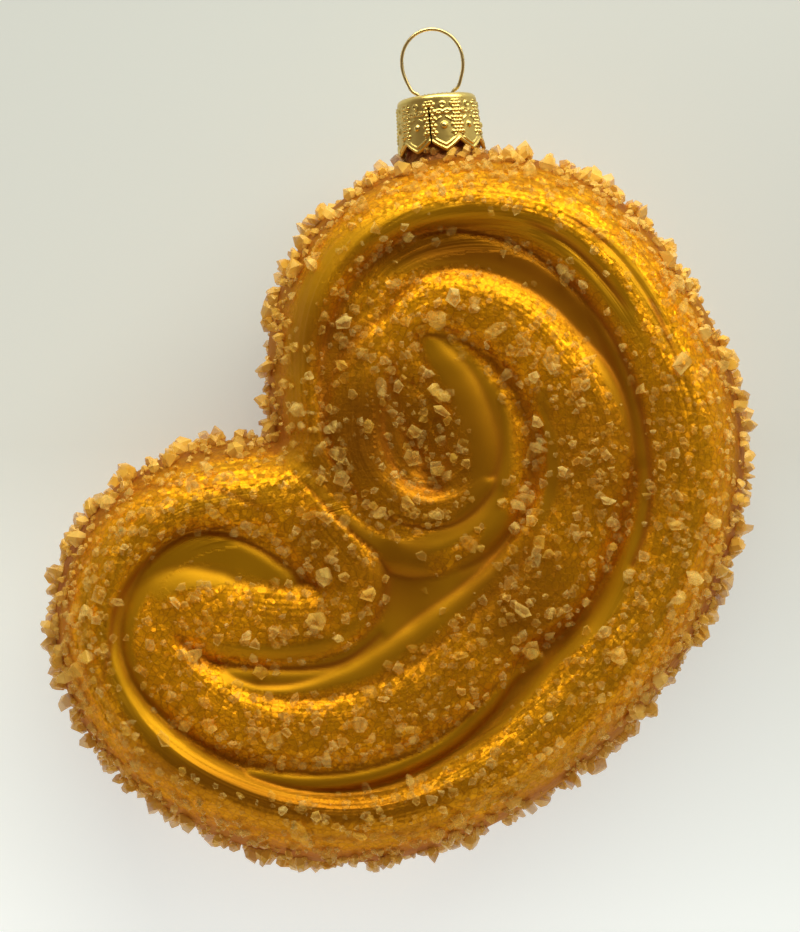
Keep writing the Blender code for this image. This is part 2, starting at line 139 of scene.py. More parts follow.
# Each fold with how softly it runs into the ones before it.
FOLDS = (
    (OUTER_FOLD, 0.8), (INNER_FOLD, 0.8), (LOWER_FOLD, 1.0), (UPPER_LIP, 0.8), (LOWER_LIP, 0.5),
    (COIL, 0.8), (HEART, 0.7),
)
# A groove's knot is x, y, the half width and the depth.
GROOVES = [
    [(-10, 13.3, 1.75, 1.8), (-8.5, 16.7, 2, 2), (-5.6, 20.8, 2.2, 1.6), (0, 24.2, 2, 0.8), (5, 25.2, 1.7, 0.3)],
    [
        (-0.6, 25.4, 0.6, 0.3), (5, 26.7, 0.5, 1), (10, 26.2, 0.5, 1.2), (16.2, 23.7, 0.5, 1.2),
        (21.9, 18.9, 0.5, 1.2), (26.5, 12.1, 0.5, 1.2), (28.8, 5.8, 0.5, 1.2), (30.1, -2.3, 0.5, 1.2),
        (29.8, -8.6, 0.5, 1.2), (28, -13.8, 0.5, 0.8),
    ],
    [(15.4, 27.6, 0.7, 0.3), (20, 25.2, 0.7, 2), (23.8, 21.6, 0.7, 2), (27.4, 17.1, 0.7, 0.3)],
    [(20, 28.4, 0.8, 0.3), (25, 24.9, 0.8, 2), (30, 18.4, 0.8, 1.8), (33, 11.7, 0.7, 0.3)],
    [
        (-36.2, -6.7, 0.6, 0.2), (-30, -4.4, 0.75, 0.6), (-24.4, -4.1, 0.75, 0.7), (-19.4, -5.6, 0.75, 0.6),
        (-15.6, -7.6, 0.75, 0.2),
    ],
    [
        (-37.2, -11.7, 0.4, 0.3), (-39.4, -15.4, 0.4, 0.6), (-40.6, -21.1, 0.4, 0.6),
        (-39.8, -26.1, 0.4, 0.5), (-36.9, -31.7, 0.4, 0.2),
    ],
    [
        (-26.2, -43.6, 0.5, 0.2), (-18.8, -45.4, 0.5, 0.5), (-8.8, -46.8, 0.5, 0.5), (1.2, -45.8, 0.5, 0.4),
        (8.8, -43.6, 0.5, 0.1),
    ],
    [
        (-25, -46.7, 0.5, 0.2), (-17.5, -48.6, 0.5, 0.5), (-8.8, -49.3, 0.5, 0.5), (1.2, -48.3, 0.5, 0.4),
        (10, -45.4, 0.5, 0.1),
    ],
    [
        (3.8, 15.4, 0.75, 0.3), (6.2, 14.6, 0.75, 1), (9.4, 12.7, 1, 1.6), (12.4, 9.4, 1.2, 2.2),
        (14.4, 5.2, 1.4, 2.4), (15.5, 0.2, 1.4, 2.4), (15.5, -4.2, 1.2, 2.2), (14.1, -8.6, 1.1, 1.6),
        (11.5, -11.9, 1, 1), (7.8, -13.8, 0.9, 0.5),
    ],
    [(-6.2, -5.8, 0.9, 0.3), (-1.9, -9.6, 0.9, 0.6), (3.8, -10.6, 0.9, 0.6), (8.5, -8.8, 0.9, 0.6),
     (11.6, -4.8, 0.9, 0.4)],
    [(-1.1, 9.9, 0.9, 0.6), (0, 4.6, 1.1, 1.4), (1.8, 0.2, 1.3, 1.8), (4, -4.6, 1.3, 1.2)],
    [
        (28.5, -2.3, 1, 0.8), (27.1, -6.7, 1.2, 2), (25.4, -13.6, 1.4, 2.6), (23.1, -18.8, 1.4, 2.6),
        (19.5, -22.6, 1.5, 2.6), (16, -25.8, 1.7, 2.6), (13.2, -29.8, 1.5, 2.6), (9, -34.2, 1.4, 2.2),
        (4.8, -37.3, 1.2, 1.8), (-0.5, -40.1, 1.1, 1.4), (-8.1, -41.6, 1, 0.8),
    ],
    [
        (-37, -29.8, 0.5, 0.2), (-35.1, -24.8, 0.5, 0.8), (-34.5, -20.1, 0.5, 1), (-32.5, -15.8, 0.5, 1.2),
        (-28.8, -11.9, 0.5, 1.2), (-24.4, -9.8, 0.5, 1.3), (-20, -10.4, 0.6, 1.3), (-15.6, -12.6, 0.75, 1.5),
        (-11.9, -15.4, 0.9, 1.5),
    ],
    [(-24.4, -25.4, 0.6, 0.8), (-18.8, -26.1, 0.6, 1.2), (-12.5, -26.3, 0.6, 1.2), (-6.9, -25.4, 0.6, 1),
     (-2.5, -22.3, 0.6, 0.6)],
    [
        (-25, -35.4, 1, 0.3), (-18.8, -37.1, 1.1, 1), (-11.2, -37.7, 1.1, 1.2), (-3.8, -37.1, 1.1, 1.2),
        (2.5, -34.8, 1.1, 1), (7.5, -31.3, 1, 0.6),
    ],
    [(-16, 2.2, 1.25, 2), (-12.5, -0.4, 1.25, 1.6), (-8.4, -4.4, 1.25, 1.2), (-4.4, -8.6, 1.25, 1),
     (-1.2, -12.3, 1.25, 0.5)],
]
# Hollows at x, y, with the radii along X and Y and the depth.
PITS = [(3.1, -0.4, 2.8, 3.8, 1.8), (-23, -26.3, 1.5, 1.1, 2), (0, -16.1, 3.8, 4.2, 1.5), (-11, -16.7, 1.8, 1.5, 2)]

# Bands with little sugar. A knot is x, y, the half width and how bare the band is.
BARE = [
    [(-13, 4, 1.2, 0.5), (-12.2, 13, 1.6, 0.75), (-10.3, 20, 1.8, 0.75), (-6.9, 24.4, 1.8, 0.7), (-1.3, 27.2, 1.8, 0.75),
     (6.3, 28.3, 1.8, 0.8), (13.8, 27.4, 1.8, 0.85), (20.5, 24.4, 1.8, 0.9), (25.5, 19, 1.6, 0.85),
     (29, 13, 1.2, 0.5)],
    [(-1.5, 22, 1.2, 0.5), (3.8, 23.7, 1.8, 0.97), (10, 23.6, 1.8, 1), (16.3, 20.8, 1.9, 1), (21.9, 16.2, 2, 1),
     (25.6, 10.4, 2, 1), (27.8, 5, 1.6, 0.9), (29.2, -1, 1.2, 0.8), (29.4, -7, 1, 0.75),
     (27.2, -14, 1.4, 0.9), (24.5, -19, 1.6, 0.95), (20, -23.5, 1.4, 0.95), (15.2, -28, 1.8, 1),
     (10.6, -32.6, 2, 1), (4.6, -36.8, 2, 1), (-3, -39.6, 1.8, 1), (-12, -40.3, 1.7, 0.9),
     (-19.5, -39.6, 1.8, 0.97), (-25.6, -37, 2, 1), (-30, -32.6, 2, 1), (-33, -27, 1.8, 1),
     (-33.6, -21, 1.8, 1), (-32, -16.8, 1.9, 1), (-29, -13.6, 2, 1), (-25, -11.9, 2, 1), (-20.5, -12, 2, 1),
     (-16, -14, 1.6, 0.95), (-12.5, -16, 1.2, 0.7)],
    [(4.5, 12.5, 2, 0.9), (8, 8, 3, 1), (10.5, 3, 3.2, 1), (11, -2, 2.8, 1), (9.5, -7, 2, 1),
     (5, -10.6, 1.4, 1), (0, -11.8, 1.2, 0.95), (-5, -9.6, 1, 0.8), (-9, -5.6, 0.9, 0.6),
     (-13, -0.6, 1.2, 0.6), (-15.6, 2.4, 1.2, 0.5)],
    [(12, -8.5, 1.6, 1), (10.5, -13, 2.2, 1), (6, -17.5, 2.8, 1), (1, -21, 3, 1), (-4, -25, 2.4, 1),
     (-9, -27, 2, 1), (-15, -27.8, 1.8, 1), (-20.5, -27.2, 1.4, 0.9)],
    [(0.5, -14, 3.2, 1), (1, -18, 3.4, 1)],
    [(17, 7, 0.8, 0.6), (18.3, 0, 0.9, 0.8), (18, -5.5, 0.9, 0.8), (16.5, -9, 0.8, 0.5)],
    [(15.4, 27.6, 1, 0.5), (20, 25.2, 1.1, 0.85), (23.8, 21.6, 1.1, 0.85), (27.4, 17.1, 1, 0.5)],
    [(20, 28.4, 1, 0.4), (25, 24.9, 1.1, 0.8), (30, 18.4, 1.1, 0.8), (33, 11.7, 1, 0.4)],
    [(-29, -17, 1.2, 0.7), (-24.5, -15.2, 1.5, 0.85), (-19, -15.6, 1.4, 0.7), (-15, -17, 1, 0.3)],
    [(-22.5, -23.6, 1, 0.5), (-16, -24.4, 1.2, 0.75), (-9.5, -23.6, 1.2, 0.7), (-4.5, -20.4, 1, 0.5)],
]
# Places where the biggest crystals gather, at x, y with a radius.
CLUSTERS = [
    (-14.6, -14.4, 2.6), (-4.4, -15.7, 2), (-8.1, -21.7, 2.4), (-8, -6, 2.6), (3, 0.5, 4.5), (16, -8.5, 2.2),
    (-13, -30.3, 3), (14, -17, 4), (24, -20, 3), (-1.6, 9.6, 2.6), (12, 6, 2.4), (-25, -34, 3),
]
# Places sprayed browner and darkened with painted shade, over the middle and some highlights, at x, y with a radius and
# a strength.
TOAST_AND_SHADE = [
    (3, 0, 12, 0.85), (-8, 13, 6, 0.85), (0, -15, 7, 0.7), (-4, 2, 9, 1), (24, -1, 11, 0.6),
    (14, -17, 9, 0.75), (3, -27, 9, 0.4), (-11, -31, 8, 0.25), (-7, -12, 7, 0.6), (-11, -21, 6, 0.35),
    (11, 31, 7, 0.3), (11, 18, 6, 0.3), (-8, -48, 16, 0.2),
]
# The bands that are sprayed browner and darkened with painted shade, along the troughs. A knot is x, y, the half width
# and the strength.
BROWN_AND_SHADE = [
    [
        (-6, 22.5, 2, 0.5), (3.8, 24.3, 2.8, 1), (10, 24, 3, 1), (16.3, 21.5, 2.8, 1),
        (21.9, 16.7, 2.6, 0.95), (26, 10.6, 2.2, 0.8), (28.4, 5, 1.8, 0.7), (29.4, -1, 1.5, 0.6),
    ],
    [
        (-33.5, -32, 1.8, 0.2), (-31, -36, 2.2, 0.6), (-23.7, -39.4, 2.4, 0.85), (-16.2, -42, 2.4, 0.9),
        (-11.2, -43.2, 2.4, 0.9), (-3.7, -43.2, 2.4, 0.8), (3.7, -41.8, 2.2, 0.6), (8.7, -40, 2, 0.3),
    ],
]

NECK_AT = (5.3, 36.6)
LEAN = math.radians(6.0)
NECK_RADIUS = 4.3
NECK_TOP = 7.0
NECK_PROFILE = [
    (0, -5), (5.6, -5), (5.6, -0.9), (4.7, 0.2), (NECK_RADIUS, 1.2),
    (NECK_RADIUS, NECK_TOP - 0.3), (NECK_RADIUS - 0.3, NECK_TOP), (0, NECK_TOP),
]
BORE_RADIUS = 3.3
BORE_FOOT = -1.0

PETALS = 9
PETAL_COLUMNS = 36  # of points across each petal
CAP_TURN = math.radians(6.0)  # from the front to the middle of the first petal
CAP_WALL = 0.3
CAP_TOP = 7.7
CAP_TIP = 0.4
CAP_NOTCH = 1.3  # the gaps between the petals reach this far above their tips
CAP_SHOULDER = 0.7
CAP_SKIRT = [(CAP_TIP, 5.4), (2.4, 5.25), (4.6, 5.05), (CAP_TOP - CAP_SHOULDER, 4.95)]  # height, radius
SLITS = (0, 2, 4, 6)  # the gaps that are cut up between the petals
SLIT_TOP = 6.0
BRIDGE = (2.9, 1.3, 0.5)  # the scalloped strip between the wire's holes

WIRE_RADIUS = 0.215
WIRE_HOLE = 0.55
LEG_APART = 2.2  # each leg from the cap's axis
LEG_FOOT = 3.0
LOOP_MIDDLE = 12.15
LOOP_WIDTH = 3.82  # half, to the wire's centre
LOOP_RISE = 4.1
LOOP_DROP = 5.0
LOOP_KNOTS = 10  # on each side


def smooth_path(knots, step):
    """A natural cubic spline through the knots, which carries all their values along."""
    knots = np.array(knots, float)
    gaps = np.linalg.norm(np.diff(knots[:, :2], axis=0), axis=1)
    along = np.concatenate([[0.0], np.cumsum(gaps)])
    count = len(knots)
    system = np.eye(count)
    bends = np.zeros_like(knots)
    for i in range(1, count - 1):
        system[i, i - 1 : i + 2] = gaps[i - 1], 2 * (gaps[i - 1] + gaps[i]), gaps[i]
        rise = (knots[i + 1] - knots[i]) / gaps[i]
        bends[i] = 6 * (rise - (knots[i] - knots[i - 1]) / gaps[i - 1])
    bends = np.linalg.solve(system, bends)
    places = np.linspace(0, along[-1], int(along[-1] / step) + 2)
    i = np.clip(np.searchsorted(along, places, side="right") - 1, 0, count - 2)
    a = ((along[i + 1] - places) / gaps[i])[:, None]
    b = 1 - a
    curve = ((a**3 - a) * bends[i] + (b**3 - b) * bends[i + 1]) * (gaps[i] ** 2)[:, None] / 6
    return a * knots[i] + b * knots[i + 1] + curve


def nearest_of(points, samples):
    """The number of the sample that is nearest to each point."""
    found = []
    weight = (samples**2).sum(1)
    for part in np.array_split(points, len(points) // 8000 + 1):
        found.append((weight - 2 * part @ samples.T).argmin(1))
    return np.concatenate(found)


def follow(points, path):
    """Each point's distance to the path, positive on its left, and the path's values beside it."""
    samples = path[:, :2]
    nearest = nearest_of(points, samples)
    runs = np.diff(samples, axis=0)
    lengths = (runs**2).sum(1)
    offset = np.full(len(points), np.inf)
    values = np.empty((len(points), path.shape[1] - 2))
    for side in (-1, 0):
        k = np.clip(nearest + side, 0, len(runs) - 1)
        reach = points - samples[k]
        t = np.clip((reach * runs[k]).sum(1) / lengths[k], 0, 1)
        distance = np.linalg.norm(reach - t[:, None] * runs[k], axis=1)
        left = runs[k, 0] * reach[:, 1] - runs[k, 1] * reach[:, 0] >= 0
        closer = distance < np.abs(offset)
        offset = np.where(closer, np.where(left, distance, -distance), offset)
        here = path[k, 2:] + t[:, None] * (path[k + 1, 2:] - path[k, 2:])
        values[closer] = here[closer]
    return offset, values


def soft_max(a, b, blend):
    mix = np.clip(0.5 + 0.5 * (a - b) / blend, 0, 1)
    return b + (a - b) * mix + blend * mix * (1 - mix)


def soft_min(a, b, blend):
    return -soft_max(-a, -b, blend)


def relief(points, inward):
    """Height of a face above the seam, at points that lie inward from the outline."""
    height = np.full(len(points), FLOOR)
    for x, y, across, up, depth in PITS:
        height -= depth * np.exp(-(((points[:, 0] - x) / across) ** 2) - ((points[:, 1] - y) / up) ** 2)
    for knots, blend in FOLDS:
        offset, values = follow(points, smooth_path(knots, 0.35))
        width = np.where(offset > 0, values[:, 0], values[:, 1])
        fold = values[:, 2] - (values[:, 2] - FOLD_FOOT) * np.abs(offset / width) ** FOLD_POWER
        height = soft_max(height, np.maximum(fold, 0), blend)
    for knots in GROOVES:
        offset, values = follow(points, smooth_path(knots, 0.35))
        height = height - values[:, 1] * np.exp(-((offset / values[:, 0]) ** 2))
    height = CREST - FOLD_DEPTH * (CREST - height)
    t = np.clip(inward / RIM_DEPTH, 0, 1)
    rim = RIM_RISE * np.sqrt(1 - (1 - t) ** 2) + 3 * np.maximum(inward - RIM_DEPTH, 0)
    return np.where(inward > 0, soft_min(height, rim, np.minimum(1.5, 0.5 * inward + 0.01)), 0)


def within(points, loop):
    """True for the points inside a closed loop."""
    inside = np.zeros(len(points), bool)
    for (x0, y0), (x1, y1) in zip(loop, np.roll(loop, -1, axis=0)):
        if y0 != y1:
            crossed = (y0 > points[:, 1]) != (y1 > points[:, 1])
            at = x0 + (x1 - x0) * (points[:, 1] - y0) / (y1 - y0)
            inside ^= crossed & (points[:, 0] < at)
    return inside


def inward_of(points, loop):
    return np.abs(follow(points, loop)[0])


def face_of_body(loop, outline, spacing, ring_turn):
    """One face's points in plan with their heights, and its triangles. The outline's own points come
    first, then rings round the rim at even turns of its curve, then a triangular lattice."""
    ahead = np.roll(loop, -1, axis=0) - np.roll(loop, 1, axis=0)
    inner = np.stack([ahead[:, 1], -ahead[:, 0]], axis=1) / np.linalg.norm(ahead, axis=1)[:, None]
    turns = np.radians(np.arange(0, 38, ring_turn))
    rings = [loop + RIM_DEPTH * (1 - math.cos(turn)) * inner for turn in turns]
    row = spacing * math.sqrt(3) / 2
    low, high = loop.min(0), loop.max(0)
    across, up = np.meshgrid(np.arange(low[0], high[0], spacing), np.arange(low[1], high[1], row))
    across = across + (np.arange(len(up)) % 2)[:, None] * spacing / 2
    lattice = np.stack([across.ravel(), up.ravel()], axis=1)
    lattice = lattice[within(lattice, loop[::3])]
    edge = RIM_DEPTH * (1 - math.cos(turns[-1]))
    lattice = lattice[inward_of(lattice, outline) > edge + 0.6 * spacing]
    points = np.vstack(rings + [lattice])
    inward = inward_of(points, outline)
    inward[: len(loop)] = 0.0
    seam = [(i, (i + 1) % len(loop)) for i in range(len(loop))]
    placed, _, triangles, origins, _, _ = delaunay_2d_cdt([Vector(p) for p in points], seam, [], 1, 1e-6)
    order = [origin[0] for origin in origins]
    return points[order], relief(points, inward)[order], np.array(order) < len(loop), triangles, order


def middle_of_model():
    """Where the solids' middle is in the body's own millimetres, from the box of the CAD body."""
    outline = smooth_path(OUTLINE, 0.1)
    low, high = (np.array(corner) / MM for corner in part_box("glass_body"))
    return np.array([outline[:, 0].min() - low[0], outline[:, 1].min() - low[1]])


MIDDLE = middle_of_model()


def neck_frame():
    """The cap's own place: Z along the neck, X across and the front towards -Y of its own."""
    across = Vector((math.cos(LEAN), math.sin(LEAN), 0))
    up = Vector((-math.sin(LEAN), math.cos(LEAN), 0))
    out = across.cross(up)
    place = Matrix((across, -out, up)).transposed().to_4x4()
    foot = np.array(NECK_AT) - MIDDLE
    place.translation = Vector((foot[0], foot[1], BACK_FLAT)) * MM
    return place


def link(name, mesh):
    thing = bpy.data.objects.new(name, mesh)
    bpy.context.scene.collection.objects.link(thing)
    return thing


def settled(thing):
    """The object with its modifiers made part of its mesh."""
    shown = thing.evaluated_get(bpy.context.evaluated_depsgraph_get())
    mesh = bpy.data.meshes.new_from_object(shown)
    thing.modifiers.clear()
    thing.data = mesh
    mesh.name = thing.name
    return thing


def finish_piece(thing, slot, material=None, *nodes):
    """Gives a finished piece its material, attaches it to what it moves with, and hides the CAD parts that it stands
    for.
    """
    if material:
        thing.data.materials.clear()
        thing.data.materials.append(material)
    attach(thing, "root")
    if nodes:
        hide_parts(*nodes)


def places_of(mesh):
    co = np.empty(len(mesh.vertices) * 3, np.float32)
    mesh.vertices.foreach_get("co", co)
    return co.reshape(-1, 3).astype(float)


def paint(mesh, name, values):
    """Stores one number for each of the mesh's points."""
    layer = mesh.attributes.new(name, "FLOAT", "POINT")
    layer.data.foreach_set("value", np.asarray(values, np.float32))


def turned(profile, sectors):
    """A closed mesh turned round the Z axis from points of radius and height."""
    bm = bmesh.new()
    rings = []
    for radius, height in profile:
        if radius == 0:
            rings.append([bm.verts.new((0, 0, height * MM))] * sectors)
            continue
        turns = [2 * math.pi * i / sectors for i in range(sectors)]
        rings.append([bm.verts.new(Vector((radius * math.cos(a), radius * math.sin(a), height)) * MM) for a in turns])
    for low, high in zip(rings, rings[1:]):
        for i in range(sectors):
            j = (i + 1) % sectors
            corners = list(dict.fromkeys((low[i], low[j], high[j], high[i])))
            if len(corners) > 2:
                bm.faces.new(corners)
    bmesh.ops.recalc_face_normals(bm, faces=bm.faces)
    mesh = bpy.data.meshes.new("turned")
    bm.to_mesh(mesh)
    bm.free()
    return mesh


def blown_shape(front_spacing, back_spacing):
    """The body's mesh without its neck."""
    outline = smooth_path(OUTLINE, 0.1)
    loop = smooth_path(OUTLINE, 0.4)[:-1, :2]
    points, height, on_seam, triangles, order = face_of_body(loop, outline, front_spacing, 3)
    spots = np.column_stack([points, BACK_FLAT + height])
    faces = [tuple(corners) for corners in triangles]
    number = {origin: i for i, origin in enumerate(order) if on_seam[i]}
    points, height, on_seam, triangles, order = face_of_body(loop, outline, back_spacing, 6)
    free = np.cumsum(~on_seam) - 1 + len(spots)
    index = [number[origin] if seam else at for origin, seam, at in zip(order, on_seam, free)]
    depth = BACK_FLAT - soft_min(height, BACK_FLAT, 0.3)
    spots = np.vstack([spots, np.column_stack([points, depth])[~on_seam]])
    faces += [(index[c], index[b], index[a]) for a, b, c in triangles]
    spots[:, :2] -= MIDDLE
    mesh = bpy.data.meshes.new("glass")
    mesh.from_pydata((spots * MM).tolist(), [], faces)
    return mesh


def with_neck(body):
    """Joins the drawn neck to the blown shape and opens its mouth."""
    rod = [(0, BORE_FOOT), (BORE_RADIUS, BORE_FOOT), (BORE_RADIUS, NECK_TOP + 2), (0, NECK_TOP + 2)]
    for profile, operation in ((NECK_PROFILE, "UNION"), (rod, "DIFFERENCE")):
        tool = link("neck_tool", turned(profile, 72))
        tool.matrix_world = neck_frame()
        combine(body, tool, operation)


def line(distance, width):
    """The height of a stamped line, from 0 to 1."""
    return np.exp(-((distance / width) ** 2))


def bead(distance, radius):
    """The height of a stamped ball, from 0 to 1."""
    return np.sqrt(np.clip(1 - (distance / radius) ** 2, 0, 1))


def stamping(across, up, edge):
    """How far a petal's pattern stands out of the cap, in millimetres: a ring, a pair of eyes joined by
    waved lines, a dome, two chevrons along the tip and rows of beads down both sides."""
    side = np.abs(across)
    inside = side < 1.05
    ring = line(np.hypot(across, up - 6.2) - 0.3, 0.09)
    eyes = line(np.hypot((side - 0.5) / 1.9, up - 5.35) - 0.2, 0.08) * (side < 0.95)
    wave = line(up - 5.25 + 0.12 * np.cos(7 * side), 0.08) * (side > 0.9) * (side < 1.3)
    brow = line(up - 4.35 - 0.4 * np.cos(1.9 * side), 0.08) * (side > 0.3) * inside
    dome = bead(np.hypot(across, up - 3.65), 0.42)
    chevrons = line(up - edge - 0.28, 0.12) + line(up - edge - 0.8, 0.11) * (side < 1.2)
    row = np.round((up - 1.9) / 0.44)
    shift = 0.23 * (row % 2)
    column = np.clip(np.round((side - 1.15 - shift) / 0.44), 0, 1)
    beads = bead(np.hypot(side - 1.15 - shift - 0.44 * column, up - 1.9 - 0.44 * row), 0.22)
    beads *= (up > edge + 1.05) * (up < 6.75) * (side > 0.9)
    lines = np.maximum.reduce([ring, eyes, wave, brow, np.minimum(chevrons, 1)])
    return np.maximum.reduce([0.17 * lines, 0.3 * dome, 0.24 * beads])


def wall_of_cap(columns, rows, shrink, stamped):
    """Rings of points up the cap's wall and over its shoulder, with how far each stands out."""
    turns = 2 * np.pi * np.arange(columns) / columns
    petal = (turns - CAP_TURN) * PETALS / (2 * np.pi)
    off = petal - np.round(petal)
    edge = CAP_TIP + CAP_NOTCH * (2 * np.abs(off)) ** 1.15
    gap = np.floor(petal + 0.5).astype(int) % PETALS
    cut = np.isin(np.where(off < 0, gap, (gap + 1) % PETALS), SLITS)
    rings = []
    for share in np.linspace(0, 1, rows):
        up = edge + share * (CAP_TOP - CAP_SHOULDER - edge)
        radius = np.interp(up, *zip(*CAP_SKIRT))
        across = off * 2 * np.pi / PETALS * radius
        out = stamping(across, up, edge) if stamped else 0 * up
        # The slits are cut into the wall, and their painted height later colours them nearly black as painted shade.
        shaded_slit = cut & (np.abs(off) > 0.465) & (up < SLIT_TOP) & stamped
        out = np.where(shaded_slit, -0.28, out)
        rings.append((radius - shrink + out, up, out))
    for angle in np.linspace(0, np.pi / 2, 8)[1:] if stamped else ():
        radius = 4.95 - CAP_SHOULDER * (1 - np.cos(angle)) + 0 * turns
        rings.append((radius, CAP_TOP - CAP_SHOULDER * (1 - np.sin(angle)) + 0 * turns, 0.1 + 0 * turns))
    rings = np.array(rings)
    spots = np.stack([rings[:, 0] * np.sin(turns), -rings[:, 0] * np.cos(turns), rings[:, 1]], axis=2)
    return spots, rings[:, 2]


def cap_shape():
    """The stamped cap's mesh, with its pattern's height painted on it."""
    columns = PETALS * PETAL_COLUMNS
    outer, stamp = wall_of_cap(columns, 72, 0, True)
    inner, plain_stamp = wall_of_cap(columns, 4, CAP_WALL, False)
    inner[-1, :, 2] = CAP_TOP - CAP_WALL
    spots = np.vstack([inner[::-1].reshape(-1, 3), outer.reshape(-1, 3), [(0, 0, CAP_TOP - CAP_WALL), (0, 0, CAP_TOP)]])
    stamp = np.concatenate([plain_stamp.ravel(), stamp.ravel(), [0, 0.1]])
    rings = len(inner) + len(outer)
    faces = []
    for i in range(columns):
        j = (i + 1) % columns
        faces += [(row + i, row + j, row + columns + j, row + columns + i) for row in range(0, (rings - 1) * columns, columns)]
        last = (rings - 1) * columns
        faces += [(j, i, rings * columns), (last + i, last + j, rings * columns + 1)]
    mesh = bpy.data.meshes.new("cap")
    mesh.from_pydata((spots * MM).tolist(), [], faces)
    paint(mesh, "raised", np.clip(stamp / 0.15, -1, 1))
    return mesh


def bridge_shape():
    """The strip between the wire's holes, with its scalloped top."""
    length, width, rise = BRIDGE
    bm = bmesh.new()
    rings = []
    for step in range(41):
        along = length * (step / 40 - 0.5)
        top = CAP_TOP + rise * (0.72 + 0.28 * abs(math.cos(step * math.pi / 8)))
        corners = [(-0.5, CAP_TOP - 0.1), (-0.5, top - 0.2), (-0.32, top), (0.32, top), (0.5, top - 0.2), (0.5, CAP_TOP - 0.1)]
        rings.append([bm.verts.new(Vector((along, width * across, up)) * MM) for across, up in corners])
    for low, high in zip(rings, rings[1:]):
        for i in range(len(low)):
            j = (i + 1) % len(low)
            bm.faces.new((low[i], low[j], high[j], high[i]))
    bm.faces.new(rings[0])
    bm.faces.new(rings[-1])
    bmesh.ops.recalc_face_normals(bm, faces=bm.faces)
    mesh = bpy.data.meshes.new("bridge")
    bm.to_mesh(mesh)
    bm.free()
    return mesh


def combine(body, tool, operation):
    """Joins a tool to a body or cuts it away, and removes it."""
    step = body.modifiers.new("tool", "BOOLEAN")
    step.operation = operation
    step.solver = "MANIFOLD"
    step.object = tool
    settled(body)
    bpy.data.objects.remove(tool)


def hanger_route():
    """The wire's centre, from one leg's foot round the loop to the other, in the neck's own plane."""
    right = [(LEG_APART, up) for up in (LEG_FOOT, 5.4, CAP_TOP - 0.2, CAP_TOP + 0.55)]
    lowest = math.pi - math.asin(LEG_APART / LOOP_WIDTH)
    for step in range(1, LOOP_KNOTS + 1):
        angle = (lowest + 0.12) * (1 - step / LOOP_KNOTS)
        drop = LOOP_DROP if math.cos(angle) < 0 else LOOP_RISE
        right.append((LOOP_WIDTH * math.sin(angle), LOOP_MIDDLE + drop * math.cos(angle)))
    left = [(-across, up) for across, up in right[:-1]]
    return right + left[::-1]


def hollow_depth(mesh, rounds):
    """How far each point lies below the mean of the surface round it, in millimetres."""
    ends = np.empty(len(mesh.edges) * 2, np.int32)
    mesh.edges.foreach_get("vertices", ends)
    a, b = ends.reshape(-1, 2).T
    start = places_of(mesh)
    count = np.bincount(ends, minlength=len(start))[:, None]
    spots = start.copy()
    for _ in range(rounds):
        total = np.empty_like(spots)
        for axis in range(3):
            total[:, axis] = np.bincount(a, spots[b, axis], len(spots)) + np.bincount(b, spots[a, axis], len(spots))
        spots = total / count
    normals = np.array([v.normal for v in mesh.vertices])
    return ((spots - start) * normals).sum(1) / MM


def fold_lines(plan, inward):
    """How far across its fold each point lies, and how surely it is on that fold and not the next."""
    along = inward
    nearest = next_one = np.full(len(plan), np.inf)
    for number, knots in enumerate((OUTER_FOLD, INNER_FOLD, LOWER_FOLD, COIL)):
        offset, values = follow(plan, smooth_path(knots, 0.5))
        share = np.abs(offset) / np.where(offset > 0, values[:, 0], values[:, 1])
        across = offset + 20 * number
        if number == 0:
            share = np.where(inward < 13, np.minimum(share, 0.9), share)
            turned_in = np.clip((inward - 9) / 4, 0, 1)
            across = inward + (6 - offset - inward) * turned_in
        along = np.where(share < nearest, across, along)
        next_one = np.minimum(next_one, np.maximum(share, nearest))
        nearest = np.minimum(nearest, share)
    return along, np.clip((next_one - nearest) / 0.6, 0, 1) ** 2


